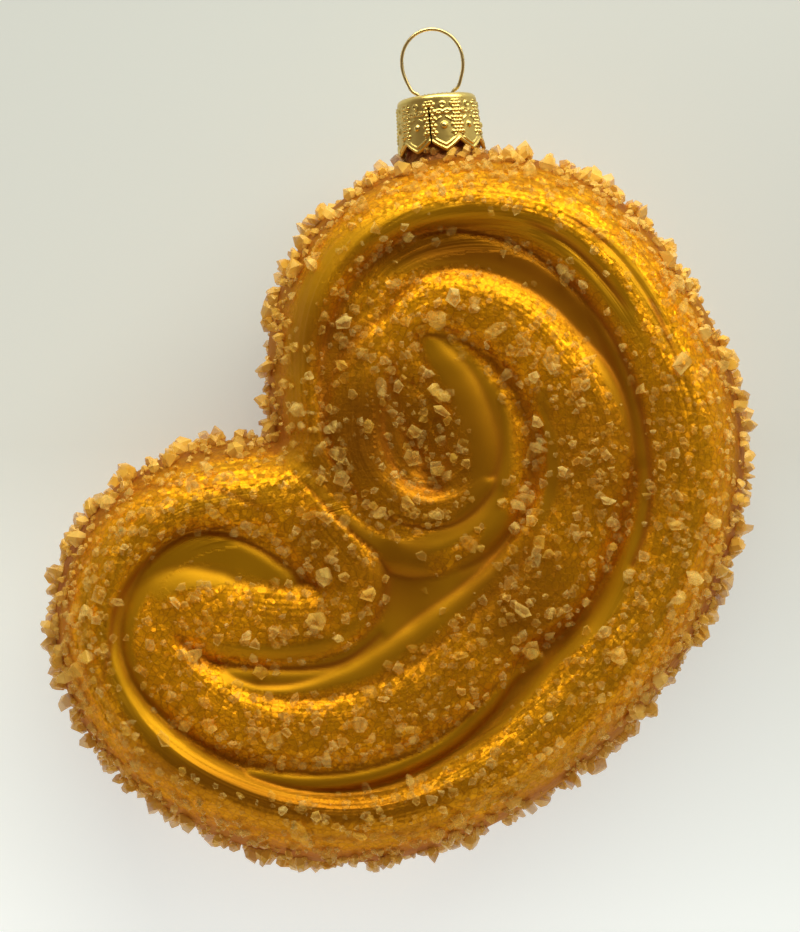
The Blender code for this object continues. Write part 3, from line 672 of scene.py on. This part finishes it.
def paint_body(mesh):
    """Stores how much sugar, rust and olive lacquer each point of the body has, and the masks for its painted shade: in
    the creases and grooves, along the olive streaks, and with brown spray over the middle and troughs. It also stores
    the darker ring round the foot of the neck.
    """
    spots = places_of(mesh) / MM
    plan = spots[:, :2] + MIDDLE
    inward = inward_of(plan, smooth_path(OUTLINE, 0.1))
    cover = np.ones(len(plan))
    for knots in BARE:
        offset, values = follow(plan, smooth_path(knots, 0.5))
        cover *= 1 - np.clip(values[:, 1], 0, 1) * np.exp(-((offset / values[:, 0]) ** 4))
    lumps = 0.18 * cover
    for x, y, radius in CLUSTERS:
        near = np.exp(-(((plan[:, 0] - x) ** 2 + (plan[:, 1] - y) ** 2) / radius**2))
        lumps = np.maximum(lumps, near * (0.35 + 0.65 * cover))
    rim = np.exp(-((inward / 2.2) ** 2))
    local = (np.column_stack([places_of(mesh), np.ones(len(plan))]) @ np.array(neck_frame().inverted()).T)[:, :3] / MM
    from_axis = np.hypot(local[:, 0], local[:, 1])
    neck = (local[:, 2] > 0.2) & (from_axis < 5.8)
    foot = line(from_axis - 4.6, 1.6) * line(local[:, 2] + 0.4, 1.6)
    resting = np.clip((spots[:, 2] - 0.5) / 1.0, 0, 1)
    cover = np.where(neck, 0, np.maximum(cover, rim) * (1 - 0.72 * rim)) * resting
    cover = np.maximum(cover, 0.9 * foot)
    lumps = np.where(neck, 0, np.maximum(lumps, 0.55 * rim)) * resting
    # Painted shade: the crease mask is how far a point lies below the surface round it, so hollows and creases are
    # coloured darker.
    crease = np.clip(hollow_depth(mesh, 5) / 0.15, 0, 1)
    paint(mesh, "sugar", cover)
    paint(mesh, "lumps", lumps)
    # Painted shade along the narrow grooves, drawn as dark lines.
    for knots in GROOVES:
        offset, values = follow(plan, smooth_path(knots, 0.5))
        narrow = values[:, 0] < 0.8
        crease = np.maximum(crease, narrow * np.clip(2 * values[:, 1], 0, 1.6) * line(offset, 0.36))
    paint(mesh, "crease", crease)
    along, sureness = fold_lines(plan, inward)
    paint(mesh, "along", along)
    paint(mesh, "lines", np.maximum(line(np.maximum(inward - 11, 0), 2), 0.6 * cover) * sureness)
    paint(mesh, "rim", np.maximum(line(inward, 2.8), np.where(neck, 0.9, 0)))
    # Brown spray and painted shade over the middle and troughs, also dimming some highlights.
    toast = np.zeros(len(plan))
    for x, y, radius, strength in TOAST_AND_SHADE:
        near = np.exp(-((((plan[:, 0] - x) ** 2 + (plan[:, 1] - y) ** 2) / radius**2) ** 1.5))
        toast = np.maximum(toast, strength * near)
    for knots in BROWN_AND_SHADE:
        offset, values = follow(plan, smooth_path(knots, 0.5))
        toast = np.maximum(toast, values[:, 1] * line(offset, values[:, 0]))
    paint(mesh, "toast", toast)
    paint(mesh, "burnt", foot)


class Wire:
    """A number, colour or vector in a material, which Python's own operators work on."""

    def __init__(self, finish, socket):
        self.finish = finish
        self.socket = socket

    def math(self, operation, *values):
        return self.finish.node("ShaderNodeMath", {"operation": operation}, dict(enumerate(values)))

    def __add__(self, other):
        return self.math("ADD", self, other)

    def __sub__(self, other):
        return self.math("SUBTRACT", self, other)

    def __rsub__(self, other):
        return self.math("SUBTRACT", other, self)

    def __mul__(self, other):
        return self.math("MULTIPLY", self, other)

    def __pow__(self, other):
        return self.math("POWER", self, other)

    __radd__ = __add__
    __rmul__ = __mul__

    def other(self, output):
        """Another output of the same node."""
        return Wire(self.finish, self.socket.node.outputs[output])

    def vector(self, operation, other, output=0):
        return self.finish.node("ShaderNodeVectorMath", {"operation": operation}, {0: self, 1: other}, output)

    def held(self, low, high):
        """This number from low to high, as 0 to 1."""
        return self.finish.node("ShaderNodeMapRange", {"clamp": True}, {"Value": self, "From Min": low, "From Max": high})


class Finish:
    """A material while its nodes are being made."""

    def __init__(self, name):
        self.material = bpy.data.materials.new(name)
        self.material.use_nodes = True
        self.nodes = self.material.node_tree.nodes
        self.links = self.material.node_tree.links
        self.shader = self.nodes["Principled BSDF"]

    def node(self, kind, settings=None, inputs=None, output=0):
        """Adds a node with its settings and then its sockets' values or wires, and returns an output."""
        node = self.nodes.new(kind)
        for name, value in (settings or {}).items():
            setattr(node, name, value)
        for name, value in (inputs or {}).items():
            self.join(node.inputs[name], value)
        return Wire(self, node.outputs[output])

    def join(self, socket, value):
        if isinstance(value, Wire):
            self.links.new(value.socket, socket)
        else:
            socket.default_value = value

    def place(self):
        return self.node("ShaderNodeTexCoord", output="Object")

    def along(self, axis, low, high):
        """Where a point lies between two places on an axis, from 0 to 1."""
        return self.node("ShaderNodeSeparateXYZ", None, {"Vector": self.place()}, axis).held(low, high)

    def painted(self, name):
        return self.node("ShaderNodeAttribute", {"attribute_name": name}, output="Fac")

    def blend(self, a, b, share):
        """Colour a turned into colour b by a share from 0 to 1."""
        sockets = {0: share, 6: a, 7: b}
        return self.node("ShaderNodeMix", {"data_type": "RGBA"}, sockets, output=2)

    def grain(self, scale, detail=2.0, roughness=0.5):
        sockets = {"Vector": self.place(), "Scale": scale, "Detail": detail, "Roughness": roughness}
        return self.node("ShaderNodeTexNoise", None, sockets)

    def streaks(self, inward):
        """Lines that run along the rim, from the distance in from it in millimetres."""
        apart = self.node("ShaderNodeSeparateXYZ", None, {"Vector": self.place()}, "X")
        place = self.node("ShaderNodeCombineXYZ", None, {"X": inward * 0.9, "Y": apart * 30, "Z": apart.other("Y") * 30})
        return self.node("ShaderNodeTexNoise", None, {"Vector": place, "Scale": 1.0, "Detail": 2.0})

    def facets(self, size, steepness):
        """Cells of about that size in metres, each a flat face with its own tilt: the height in
        metres, and a colour for each cell."""
        cell = self.node("ShaderNodeTexVoronoi", None, {"Vector": self.place(), "Scale": 1 / size}, "Color")
        reach = self.place().vector("SUBTRACT", cell.other("Position"))
        tilt = cell.vector("SUBTRACT", (0.5, 0.5, 0.5))
        return reach.vector("DOT_PRODUCT", tilt, "Value") * steepness, cell

    def chip_seam_shade(self, size, width):
        """How near a point is to the border between two cells of that size, from 0 to 1."""
        settings = {"feature": "DISTANCE_TO_EDGE"}
        edge = self.node("ShaderNodeTexVoronoi", settings, {"Vector": self.place(), "Scale": 1 / size})
        return 1 - edge.held(0, width)

    def relief(self, height, depth, under=None):
        """A bump of that depth in metres, over another normal if there is one."""
        sockets = {"Height": height, "Distance": depth}
        if under:
            sockets["Normal"] = under
        return self.node("ShaderNodeBump", None, sockets)

    def done(self, wires, **constants):
        for name, value in {**constants, **wires}.items():
            self.join(self.shader.inputs[name.replace("_", " ")], value)
        return self.material


def colour(values):
    return (*values, 1.0)


def lacquered_glass(look):
    """Silvered glass under amber lacquer, olive where it is bare and rust-brown on the rim, with the finest crushed
    glass fused to it where there is sugar. Its colour also carries painted shade: in the creases and grooves, in the
    olive streaks, in the seams between the chips, and with brown spray over the middle and troughs."""
    made = Finish("gold_glass")
    sugar = made.painted("sugar")
    crease = made.painted("crease")
    toast = made.painted("toast")
    rim = made.painted("rim")
    mottle = made.grain(260, 3)
    chip, chip_tone = made.facets(0.8e-3, 0.4)
    grain, grain_tone = made.facets(0.45e-3, 0.4)
    cover = (sugar + (mottle - 0.5) * 0.5).held(0.25, 0.75)
    inward = made.painted("inward")
    shaded_streak = made.streaks(made.painted("along"))
    streaked = shaded_streak * made.painted("lines")
    tone = chip_tone * 0.6 + grain_tone * 0.4
    chip_seam_shade = made.chip_seam_shade(0.8e-3, 0.13) * cover
    sugared = made.blend(colour(look.amber_dark), colour(look.amber_bright), tone)
    base = made.blend(colour(look.bare), sugared, cover)
    # Painted shade in the seams between the fused chips, in the rust colour.
    base = made.blend(base, colour(look.rust), chip_seam_shade * 0.4)
    base = made.blend(base, colour(look.rust), (rim + (mottle - 0.5) * 0.3).held(0.25, 0.85) * (0.6 + tone * 0.6))
    # Painted shade: the olive colour goes into the fine grooves of the streaks, which the bump below also sinks.
    base = made.blend(base, colour(look.shaded_streak), (streaked - 0.42).held(0, 0.4))
    # Brown spray and painted shade over the middle and troughs.
    base = made.blend(base, colour(look.toast), toast)
    # Painted shade in the creases and grooves.
    base = made.blend(base, colour(look.crease), (crease * 0.48).held(0, 1))
    # Darker round the foot of the neck.
    base = made.blend(base, colour(look.burnt), made.painted("burnt").held(0.2, 1.1))
    ripple = made.relief(streaked * -1.0, 0.0004, made.relief(made.grain(140, 1), 0.0004))
    return made.done(
        {
            "Base Color": base,
            "Roughness": 0.5 - cover * 0.02,
            "Normal": made.relief((chip + grain) * cover * (1 - toast * 0.8), 1.0, ripple),
        },
        Metallic=0.7,
        Specular_Tint=colour((0.95, 0.47, 0.06)),
    )


def sugar_glass(look):
    """Crushed glass, each crystal with its own share of amber and of clearness, less clear along its edges as a painted
    sheen, and with a faint painted glow.
    """
    made = Finish("glass_crystals")
    tint = made.painted("tint")
    rim = made.painted("rim")
    edge_sheen = made.painted("edge")
    base = made.blend(colour(look.sugar_pale), colour(look.sugar_amber), tint)
    base = made.blend(base, colour(look.sugar_rust), (rim * 0.85).held(0, 1))
    # Darker round the foot of the neck.
    base = made.blend(base, colour(look.burnt), made.painted("burnt").held(0.1, 1.1))
    return made.done(
        # Painted sheen: the crystals are less clear along their edges, which shows their pale colour along their
        # outlines.
        {"Base Color": base, "Alpha": made.painted("milk") * (0.45 + edge_sheen * 0.75) * look.milkiness + rim * 0.42, "Emission Color": base},
        Roughness=0.2,
        IOR=1.5,
        Specular_Tint=colour((1.0, 0.78, 0.38)),
        # A faint painted glow: the crystals shine in their own colour, for the light that passes through them.
        Emission_Strength=0.05,
    )


def stamped_gold(look):
    """Gold-coloured aluminium, darker in the stamping's recesses, with the slits between the petals painted nearly
    black as shade.
    """
    made = Finish("cap_gold")
    raised = (made.painted("raised") + (made.grain(1500, 3) - 0.5) * 0.35).held(-0.2, 0.9)
    base = made.blend(colour(look.cap_recess), colour(look.cap_raised), raised)
    # Painted shade: the slits between the petals are coloured nearly black.
    base = made.blend(colour(look.shaded_slit), base, made.painted("raised").held(-0.8, -0.2))
    return made.done(
        {"Base Color": base, "Roughness": 0.42 - raised * 0.16, "Normal": made.relief(made.grain(1100, 2), 0.00004)},
        Metallic=1.0,
    )


def wire_brass(look):
    """Drawn brass wire, a little dull in patches."""
    made = Finish("wire_brass")
    dull = made.grain(420, 2).held(0.35, 0.7)
    base = made.blend(colour(look.wire), colour([part * 0.55 for part in look.wire]), dull)
    return made.done({"Base Color": base, "Roughness": 0.2 + dull * 0.2}, Metallic=1.0)


def shard_collection(seed, sides, thickness):
    """Broken crystals of about unit width to scatter: flat chips with a top facet, a bevelled edge and a bottom facet,
    each with its own slant. Their Z axis stands on the surface. The points of the edge are stored, for the painted
    sheen along it."""
    strewn = np.random.default_rng(seed)
    group = bpy.data.collections.new("shards")
    for number in range(14):
        turns = (strewn.uniform(-0.32, 0.32, sides) + np.arange(sides)) * 2 * math.pi / sides
        reach = strewn.uniform(0.3, 0.55, sides)
        stretch = strewn.uniform(0.55, 1.0)
        slant = strewn.uniform(-0.5, 0.5, 2)
        spots = []
        for height, share in ((0.5, strewn.uniform(0.45, 0.8)), (0.0, 1.0), (-0.5, 0.6)):
            for turn, radius in zip(turns, reach):
                x = radius * share * math.cos(turn)
                y = stretch * radius * share * math.sin(turn)
                lift = thickness * (height * (1 + slant[0] * x * 2 + slant[1] * y * 2) + strewn.uniform(-0.06, 0.06))
                spots.append((x, y, lift))
        bm = bmesh.new()
        edge = bm.verts.layers.float.new("edge")
        for place, spot in enumerate(spots):
            bm.verts.new(spot)[edge] = float(sides <= place < 2 * sides)
        hull = bmesh.ops.convex_hull(bm, input=bm.verts)
        loose = [thing for thing in hull["geom_interior"] if isinstance(thing, bmesh.types.BMVert)]
        bmesh.ops.delete(bm, geom=loose, context="VERTS")
        bmesh.ops.recalc_face_normals(bm, faces=bm.faces)
        mesh = bpy.data.meshes.new("shard")
        bm.to_mesh(mesh)
        bm.free()
        group.objects.link(bpy.data.objects.new(f"shard_{number:02d}", mesh))
    return group


def scatter_tree():
    """The nodes that strew crystals over a painted surface."""
    tree = bpy.data.node_groups.new("Sugar", "GeometryNodeTree")
    face = tree.interface
    face.new_socket("Geometry", in_out="INPUT", socket_type="NodeSocketGeometry")
    for name, kind, value in (
        ("Shards", "NodeSocketCollection", None), ("Material", "NodeSocketMaterial", None),
        ("Cover", "NodeSocketString", ""), ("Density", "NodeSocketFloat", 0.0),
        ("Smallest", "NodeSocketFloat", 0.0), ("Largest", "NodeSocketFloat", 0.0),
        ("Rarity", "NodeSocketFloat", 1.0), ("Sink", "NodeSocketFloat", 0.0), ("Milk", "NodeSocketFloat", 0.0),
        ("Seed", "NodeSocketInt", 0),
    ):
        socket = face.new_socket(name, in_out="INPUT", socket_type=kind)
        if value is not None:
            socket.default_value = value
    face.new_socket("Geometry", in_out="OUTPUT", socket_type="NodeSocketGeometry")
    start = tree.nodes.new("NodeGroupInput").outputs

    def add(kind, settings=None, **inputs):
        node = tree.nodes.new(kind)
        for name, value in (settings or {}).items():
            setattr(node, name, value)
        for name, value in inputs.items():
            socket = node.inputs[int(name[1:]) if name[1:].isdigit() else name.replace("_", " ")]
            if isinstance(value, bpy.types.NodeSocket):
                tree.links.new(value, socket)
            else:
                socket.default_value = value
        return node.outputs

    cover = add("GeometryNodeInputNamedAttribute", {"data_type": "FLOAT"}, Name=start["Cover"])["Attribute"]
    density = add("ShaderNodeMath", {"operation": "MULTIPLY"}, _0=cover, _1=start["Density"])[0]
    points = add("GeometryNodeDistributePointsOnFaces", {"distribute_method": "RANDOM"},
                 Mesh=start["Geometry"], Density=density, Seed=start["Seed"])
    chance = add("FunctionNodeRandomValue", {"data_type": "FLOAT"}, _2=0.0, _3=1.0, Seed=start["Seed"])[1]
    share = add("ShaderNodeMath", {"operation": "POWER"}, _0=chance, _1=start["Rarity"])[0]
    size = add("ShaderNodeMapRange", None, Value=share, To_Min=start["Smallest"], To_Max=start["Largest"])[0]
    sink = add("ShaderNodeMath", {"operation": "MULTIPLY"}, _0=size, _1=start["Sink"])[0]
    shift = add("ShaderNodeVectorMath", {"operation": "SCALE"}, _0=points["Normal"], Scale=sink)[0]
    placed = add("GeometryNodeSetPosition", None, Geometry=points["Points"], Offset=shift)[0]
    standing = add("FunctionNodeAlignRotationToVector", {"axis": "Z"}, Vector=points["Normal"])[0]
    tilt = add("FunctionNodeRandomValue", {"data_type": "FLOAT_VECTOR"}, _0=(-0.7, -0.7, 0), _1=(0.7, 0.7, 6.283), Seed=7)[0]
    turn = add("FunctionNodeRotateRotation", {"rotation_space": "LOCAL"}, Rotation=standing, Rotate_By=tilt)[0]
    pieces = add("GeometryNodeCollectionInfo", None, Collection=start["Shards"], Separate_Children=True, Reset_Children=True)[0]
    strewn = add("GeometryNodeInstanceOnPoints", None, Points=placed, Instance=pieces, Pick_Instance=True, Rotation=turn, Scale=size)[0]
    tint = add("FunctionNodeRandomValue", {"data_type": "FLOAT"}, _2=0.0, _3=1.0, Seed=11)[1]
    named = add("GeometryNodeStoreNamedAttribute", {"data_type": "FLOAT", "domain": "INSTANCE"}, Geometry=strewn, Name="tint", Value=tint)[0]
    cloud = add("FunctionNodeRandomValue", {"data_type": "FLOAT"}, _2=0.5, _3=1.5, Seed=12)[1]
    milk = add("ShaderNodeMath", {"operation": "MULTIPLY"}, _0=cloud, _1=start["Milk"])[0]
    named = add("GeometryNodeStoreNamedAttribute", {"data_type": "FLOAT", "domain": "INSTANCE"}, Geometry=named, Name="milk", Value=milk)[0]
    solid = add("GeometryNodeRealizeInstances", None, Geometry=named)[0]
    done = add("GeometryNodeSetMaterial", None, Geometry=solid, Material=start["Material"])[0]
    tree.links.new(done, tree.nodes.new("NodeGroupOutput").inputs["Geometry"])
    return tree


def strew(name, body, tree, values):
    """Strews one kind of crystal over the body and returns it as a plain mesh."""
    piece = link(name, body.data.copy())
    step = piece.modifiers.new("sugar", "NODES")
    step.node_group = tree
    for socket in tree.interface.items_tree:
        if socket.in_out == "INPUT" and socket.name in values:
            step[socket.identifier] = values[socket.name]
    settled(piece)
    spots = places_of(piece.data)
    spots[:, 2] = np.maximum(spots[:, 2], 0.0)
    piece.data.vertices.foreach_set("co", spots.astype(np.float32).ravel())
    piece.data.update()
    return piece


class OrnamentLook(PropertyGroup):
    """The ornament's colours and the size and amount of its sugar."""

    amber_bright: FloatVectorProperty(name="Bright amber", description="Lightest lacquer under the sugar", subtype="COLOR", size=3, default=(0.98, 0.46, 0.006))
    amber_dark: FloatVectorProperty(name="Dark amber", description="Darkest lacquer under the sugar", subtype="COLOR", size=3, default=(0.74, 0.285, 0.006))
    bare: FloatVectorProperty(name="Bare gold", description="Lacquer of the bare folds", subtype="COLOR", size=3, default=(0.58, 0.285, 0.008))
    rust: FloatVectorProperty(name="Rust", description="Sprayed colour round the rim", subtype="COLOR", size=3, default=(0.30, 0.095, 0.012))
    # The crease colour is painted shade in the creases and grooves.
    crease: FloatVectorProperty(name="Crease", description="Sprayed colour in the creases", subtype="COLOR", size=3, default=(0.42, 0.12, 0.01))
    # The streak colour is painted shade in the fine grooves along the folds.
    shaded_streak: FloatVectorProperty(name="Streak", description="Olive lines along the rim", subtype="COLOR", size=3, default=(0.52, 0.25, 0.01))
    # The toast colour is brown spray and painted shade together.
    toast: FloatVectorProperty(name="Toast_and_shade", description="Brown sprayed over the middle", subtype="COLOR", size=3, default=(0.31, 0.108, 0.005))
    burnt: FloatVectorProperty(name="Neck_foot_dark", description="Darkest colour, round the foot of the neck", subtype="COLOR", size=3, default=(0.30, 0.12, 0.045))
    sugar_pale: FloatVectorProperty(name="Pale sugar", description="Palest crystals", subtype="COLOR", size=3, default=(1.0, 0.80, 0.27))
    sugar_amber: FloatVectorProperty(name="Amber sugar", description="Most coloured crystals", subtype="COLOR", size=3, default=(1.0, 0.62, 0.08))
    sugar_rust: FloatVectorProperty(name="Rim sugar", description="Crystals on the rim", subtype="COLOR", size=3, default=(0.84, 0.47, 0.06))
    cap_raised: FloatVectorProperty(name="Cap", description="Raised parts of the cap", subtype="COLOR", size=3, default=(0.80, 0.61, 0.20))
    # The cap gaps colour is painted shade in the slits.
    shaded_slit: FloatVectorProperty(name="Cap gaps", description="Dark of the gaps between the petals", subtype="COLOR", size=3, default=(0.03, 0.015, 0.005))
    cap_recess: FloatVectorProperty(name="Cap recesses", description="Hollow parts of the cap", subtype="COLOR", size=3, default=(0.58, 0.42, 0.12))
    wire: FloatVectorProperty(name="Wire", description="Brass of the hanger loop", subtype="COLOR", size=3, default=(0.90, 0.68, 0.30))
    milkiness: FloatProperty(name="Milkiness", description="How much the sugar hides what lies under it", default=0.55, min=0, max=1.5)
    front_spacing: FloatProperty(name="Front spacing", description="Between the points of the front, in millimetres", default=0.35, min=0.2)
    back_spacing: FloatProperty(name="Back spacing", description="Between the points of the back, in millimetres", default=0.6, min=0.3)
    seed: IntProperty(name="Seed", description="Changes how the sugar falls", default=3)
    camera_height: FloatProperty(name="Camera height", description="Above the ornament's seam", subtype="DISTANCE", unit="LENGTH", default=0.40)
    view_height: FloatProperty(name="View height", description="How much of the floor the camera sees from top to bottom", subtype="DISTANCE", unit="LENGTH", default=0.1165)


def look_of(context):
    return context.scene.palmier_look


class ORNAMENT_OT_glass(Operator):
    """Make the blown glass body with its neck"""

    bl_idname = "ornament.glass"
    bl_label = "Glass Body"

    def execute(self, context):
        look = look_of(context)
        body = link("palmier_glass", blown_shape(look.front_spacing, look.back_spacing))
        with_neck(body)
        body.data.shade_smooth()
        paint_body(body.data)
        finish_piece(body, "gold_glass", lacquered_glass(look), "glass_body")
        return {"FINISHED"}


class ORNAMENT_OT_cap(Operator):
    """Make the stamped cap with its petals and its scalloped strip"""

    bl_idname = "ornament.cap"
    bl_label = "Cap"

    def execute(self, context):
        cap = link("ornament_cap", cap_shape())
        cap.matrix_world = neck_frame()
        strip = link("bridge", bridge_shape())
        strip.matrix_world = neck_frame()
        combine(cap, strip, "UNION")
        for side in (-1, 1):
            rod = [(0, CAP_TOP - 1), (WIRE_HOLE, CAP_TOP - 1), (WIRE_HOLE, CAP_TOP + 1), (0, CAP_TOP + 1)]
            hole = link("hole", turned(rod, 32))
            hole.matrix_world = neck_frame() @ Matrix.Translation((side * LEG_APART * MM, 0, 0))
            combine(cap, hole, "DIFFERENCE")
        cap.data.transform(cap.matrix_world)
        cap.matrix_world = Matrix()
        cap.data.shade_smooth()
        finish_piece(cap, "cap_gold", stamped_gold(look_of(context)), "cap")
        return {"FINISHED"}


class ORNAMENT_OT_hanger(Operator):
    """Bend the wire loop that stands in the cap's holes"""

    bl_idname = "ornament.hanger"
    bl_label = "Hanger"

    def execute(self, context):
        curve = bpy.data.curves.new("hanger", "CURVE")
        curve.dimensions = "3D"
        curve.bevel_depth = WIRE_RADIUS * MM
        curve.bevel_resolution = 4
        curve.use_fill_caps = True
        path = smooth_path(hanger_route(), 0.3)
        spline = curve.splines.new("POLY")
        spline.points.add(len(path) - 1)
        for point, (across, up) in zip(spline.points, path):
            point.co = (across * MM, 0, up * MM, 1)
        drawn = link("hanger_path", curve)
        mesh = bpy.data.meshes.new_from_object(drawn.evaluated_get(context.evaluated_depsgraph_get()))
        bpy.data.objects.remove(drawn)
        mesh.transform(neck_frame())
        mesh.shade_smooth()
        wire = link("hanger_loop", mesh)
        finish_piece(wire, "wire_brass", wire_brass(look_of(context)), "hanger")
        return {"FINISHED"}


# Each kind of crystal: where it lies, how many to the square metre, and sizes in metres.
SUGAR_KINDS = {
    "sugar_grains": dict(Sides=4, Thickness=0.7, Cover="sugar", Density=0.22e6, Smallest=0.5e-3, Largest=1.0e-3, Rarity=1.2, Sink=0.05, Milk=0.3),
    "sugar_chips": dict(Sides=5, Thickness=0.6, Cover="sugar", Density=0.42e6, Smallest=0.9e-3, Largest=1.9e-3, Rarity=1.4, Sink=0.08, Milk=0.36),
    "sugar_lumps": dict(Sides=5, Thickness=0.75, Cover="lumps", Density=0.2e6, Smallest=1.5e-3, Largest=3.0e-3, Rarity=1.6, Sink=0.22, Milk=0.5),
}


class ORNAMENT_OT_sugar(Operator):
    """Strew crushed glass over the folds, one piece for each kind"""

    bl_idname = "ornament.sugar"
    bl_label = "Sugar"

    def execute(self, context):
        look = look_of(context)
        body = bpy.data.objects["palmier_glass"]
        material = sugar_glass(look)
        tree = scatter_tree()
        for number, (name, values) in enumerate(SUGAR_KINDS.items()):
            shards = shard_collection(look.seed + number, values["Sides"], values["Thickness"])
            values = dict(values, Shards=shards, Material=material, Seed=look.seed + number)
            piece = strew(name, body, tree, values)
            for shard in list(shards.objects):
                bpy.data.objects.remove(shard)
            bpy.data.collections.remove(shards)
            finish_piece(piece, "glass_crystals")
        bpy.data.node_groups.remove(tree)
        return {"FINISHED"}


class ORNAMENT_OT_stage(Operator):
    """Make the floor, the soft light and the camera"""

    bl_idname = "ornament.stage"
    bl_label = "Stage"

    def execute(self, context):
        look = look_of(context)
        scene = context.scene
        floor_mesh = bpy.data.meshes.new("floor")
        bm = bmesh.new()
        bmesh.ops.create_grid(bm, x_segments=8, y_segments=8, size=3.0)
        bm.to_mesh(floor_mesh)
        bm.free()
        floor = link("studio_floor", floor_mesh)
        made = Finish("studio_floor")
        # Painted light and shade over the floor: its colour is darker towards the back and the right, and its glow
        # brighter towards the front.
        shaded_floor = made.blend(colour((0.80, 0.83, 0.83)), colour((0.42, 0.44, 0.44)), made.along("Y", -0.06, 0.07))
        shaded_floor = made.blend(shaded_floor, colour((0.40, 0.41, 0.41)), made.along("X", 0.0, 0.06) * 0.7)
        glow = made.blend(colour((0.93, 1.0, 1.02)), colour((0.38, 0.4, 0.4)), made.along("Y", -0.062, 0.0))
        floor_mesh.materials.append(
            made.done({"Base Color": shaded_floor, "Emission Color": glow}, Roughness=0.85, Emission_Strength=0.6)
        )
        for name, place, energy in (("key", (0.07, 0.29, 0.15), 1.88), ("fill", (-0.05, -0.29, 0.13), 0.2)):
            light = bpy.data.lights.new(name, "AREA")
            light.shape = "RECTANGLE"
            light.size = 0.5
            light.size_y = 0.18
            light.energy = energy
            light.color = (1.0, 1.0, 0.82)
            lamp = link(name, light)
            lamp.location = place
            lamp.rotation_euler = (Vector((0, 0, 0.015)) - lamp.location).to_track_quat("-Z", "Y").to_euler()
        world = bpy.data.worlds.new("studio")
        scene.world = world
        world.use_nodes = True
        nodes, links = world.node_tree.nodes, world.node_tree.links
        way = nodes.new("ShaderNodeTexCoord")
        apart = nodes.new("ShaderNodeSeparateXYZ")
        links.new(way.outputs["Generated"], apart.inputs[0])
        ramp = nodes.new("ShaderNodeValToRGB")
        stops = ramp.color_ramp.elements
        stops[0].position, stops[0].color = 0.0, (0.43, 0.37, 0.29, 1)
        stops[1].position, stops[1].color = 1.0, (0.12, 0.085, 0.06, 1)
        middle = stops.new(0.5)
        middle.color = (0.26, 0.205, 0.15, 1)
        links.new(apart.outputs["Z"], ramp.inputs[0])
        links.new(ramp.outputs[0], nodes["Background"].inputs["Color"])
        camera = bpy.data.cameras.new("camera")
        camera.sensor_fit = "VERTICAL"
        camera.sensor_height = 36.0
        camera.lens = 36.0 * look.camera_height / look.view_height
        camera.clip_start = 0.01
        eye = link("camera", camera)
        eye.location = (0.06 * MM, -2.71 * MM, BACK_FLAT * MM + look.camera_height)
        scene.camera = eye
        scene.view_settings.view_transform = "Standard"
        return {"FINISHED"}


class ORNAMENT_PT_panel(Panel):
    """The ornament's pieces in the order that they are made"""

    bl_idname = "ORNAMENT_PT_panel"
    bl_label = "Palmier Ornament"
    bl_space_type = "VIEW_3D"
    bl_region_type = "UI"
    bl_category = "Ornament"

    def draw(self, context):
        column = self.layout.column()
        for operator in MAKERS:
            column.operator(operator.bl_idname)
        for name in OrnamentLook.__annotations__:
            column.prop(look_of(context), name)


MAKERS = (ORNAMENT_OT_glass, ORNAMENT_OT_cap, ORNAMENT_OT_hanger, ORNAMENT_OT_sugar, ORNAMENT_OT_stage)


def register():
    for kind in (OrnamentLook, *MAKERS, ORNAMENT_PT_panel):
        bpy.utils.register_class(kind)
    bpy.types.Scene.palmier_look = PointerProperty(type=OrnamentLook)


def unregister():
    del bpy.types.Scene.palmier_look
    for kind in (ORNAMENT_PT_panel, *reversed(MAKERS), OrnamentLook):
        bpy.utils.unregister_class(kind)


def main():
    register()
    for operator in MAKERS:
        group, name = operator.bl_idname.split(".")
        getattr(getattr(bpy.ops, group), name)()


if __name__ == "__main__":
    main()
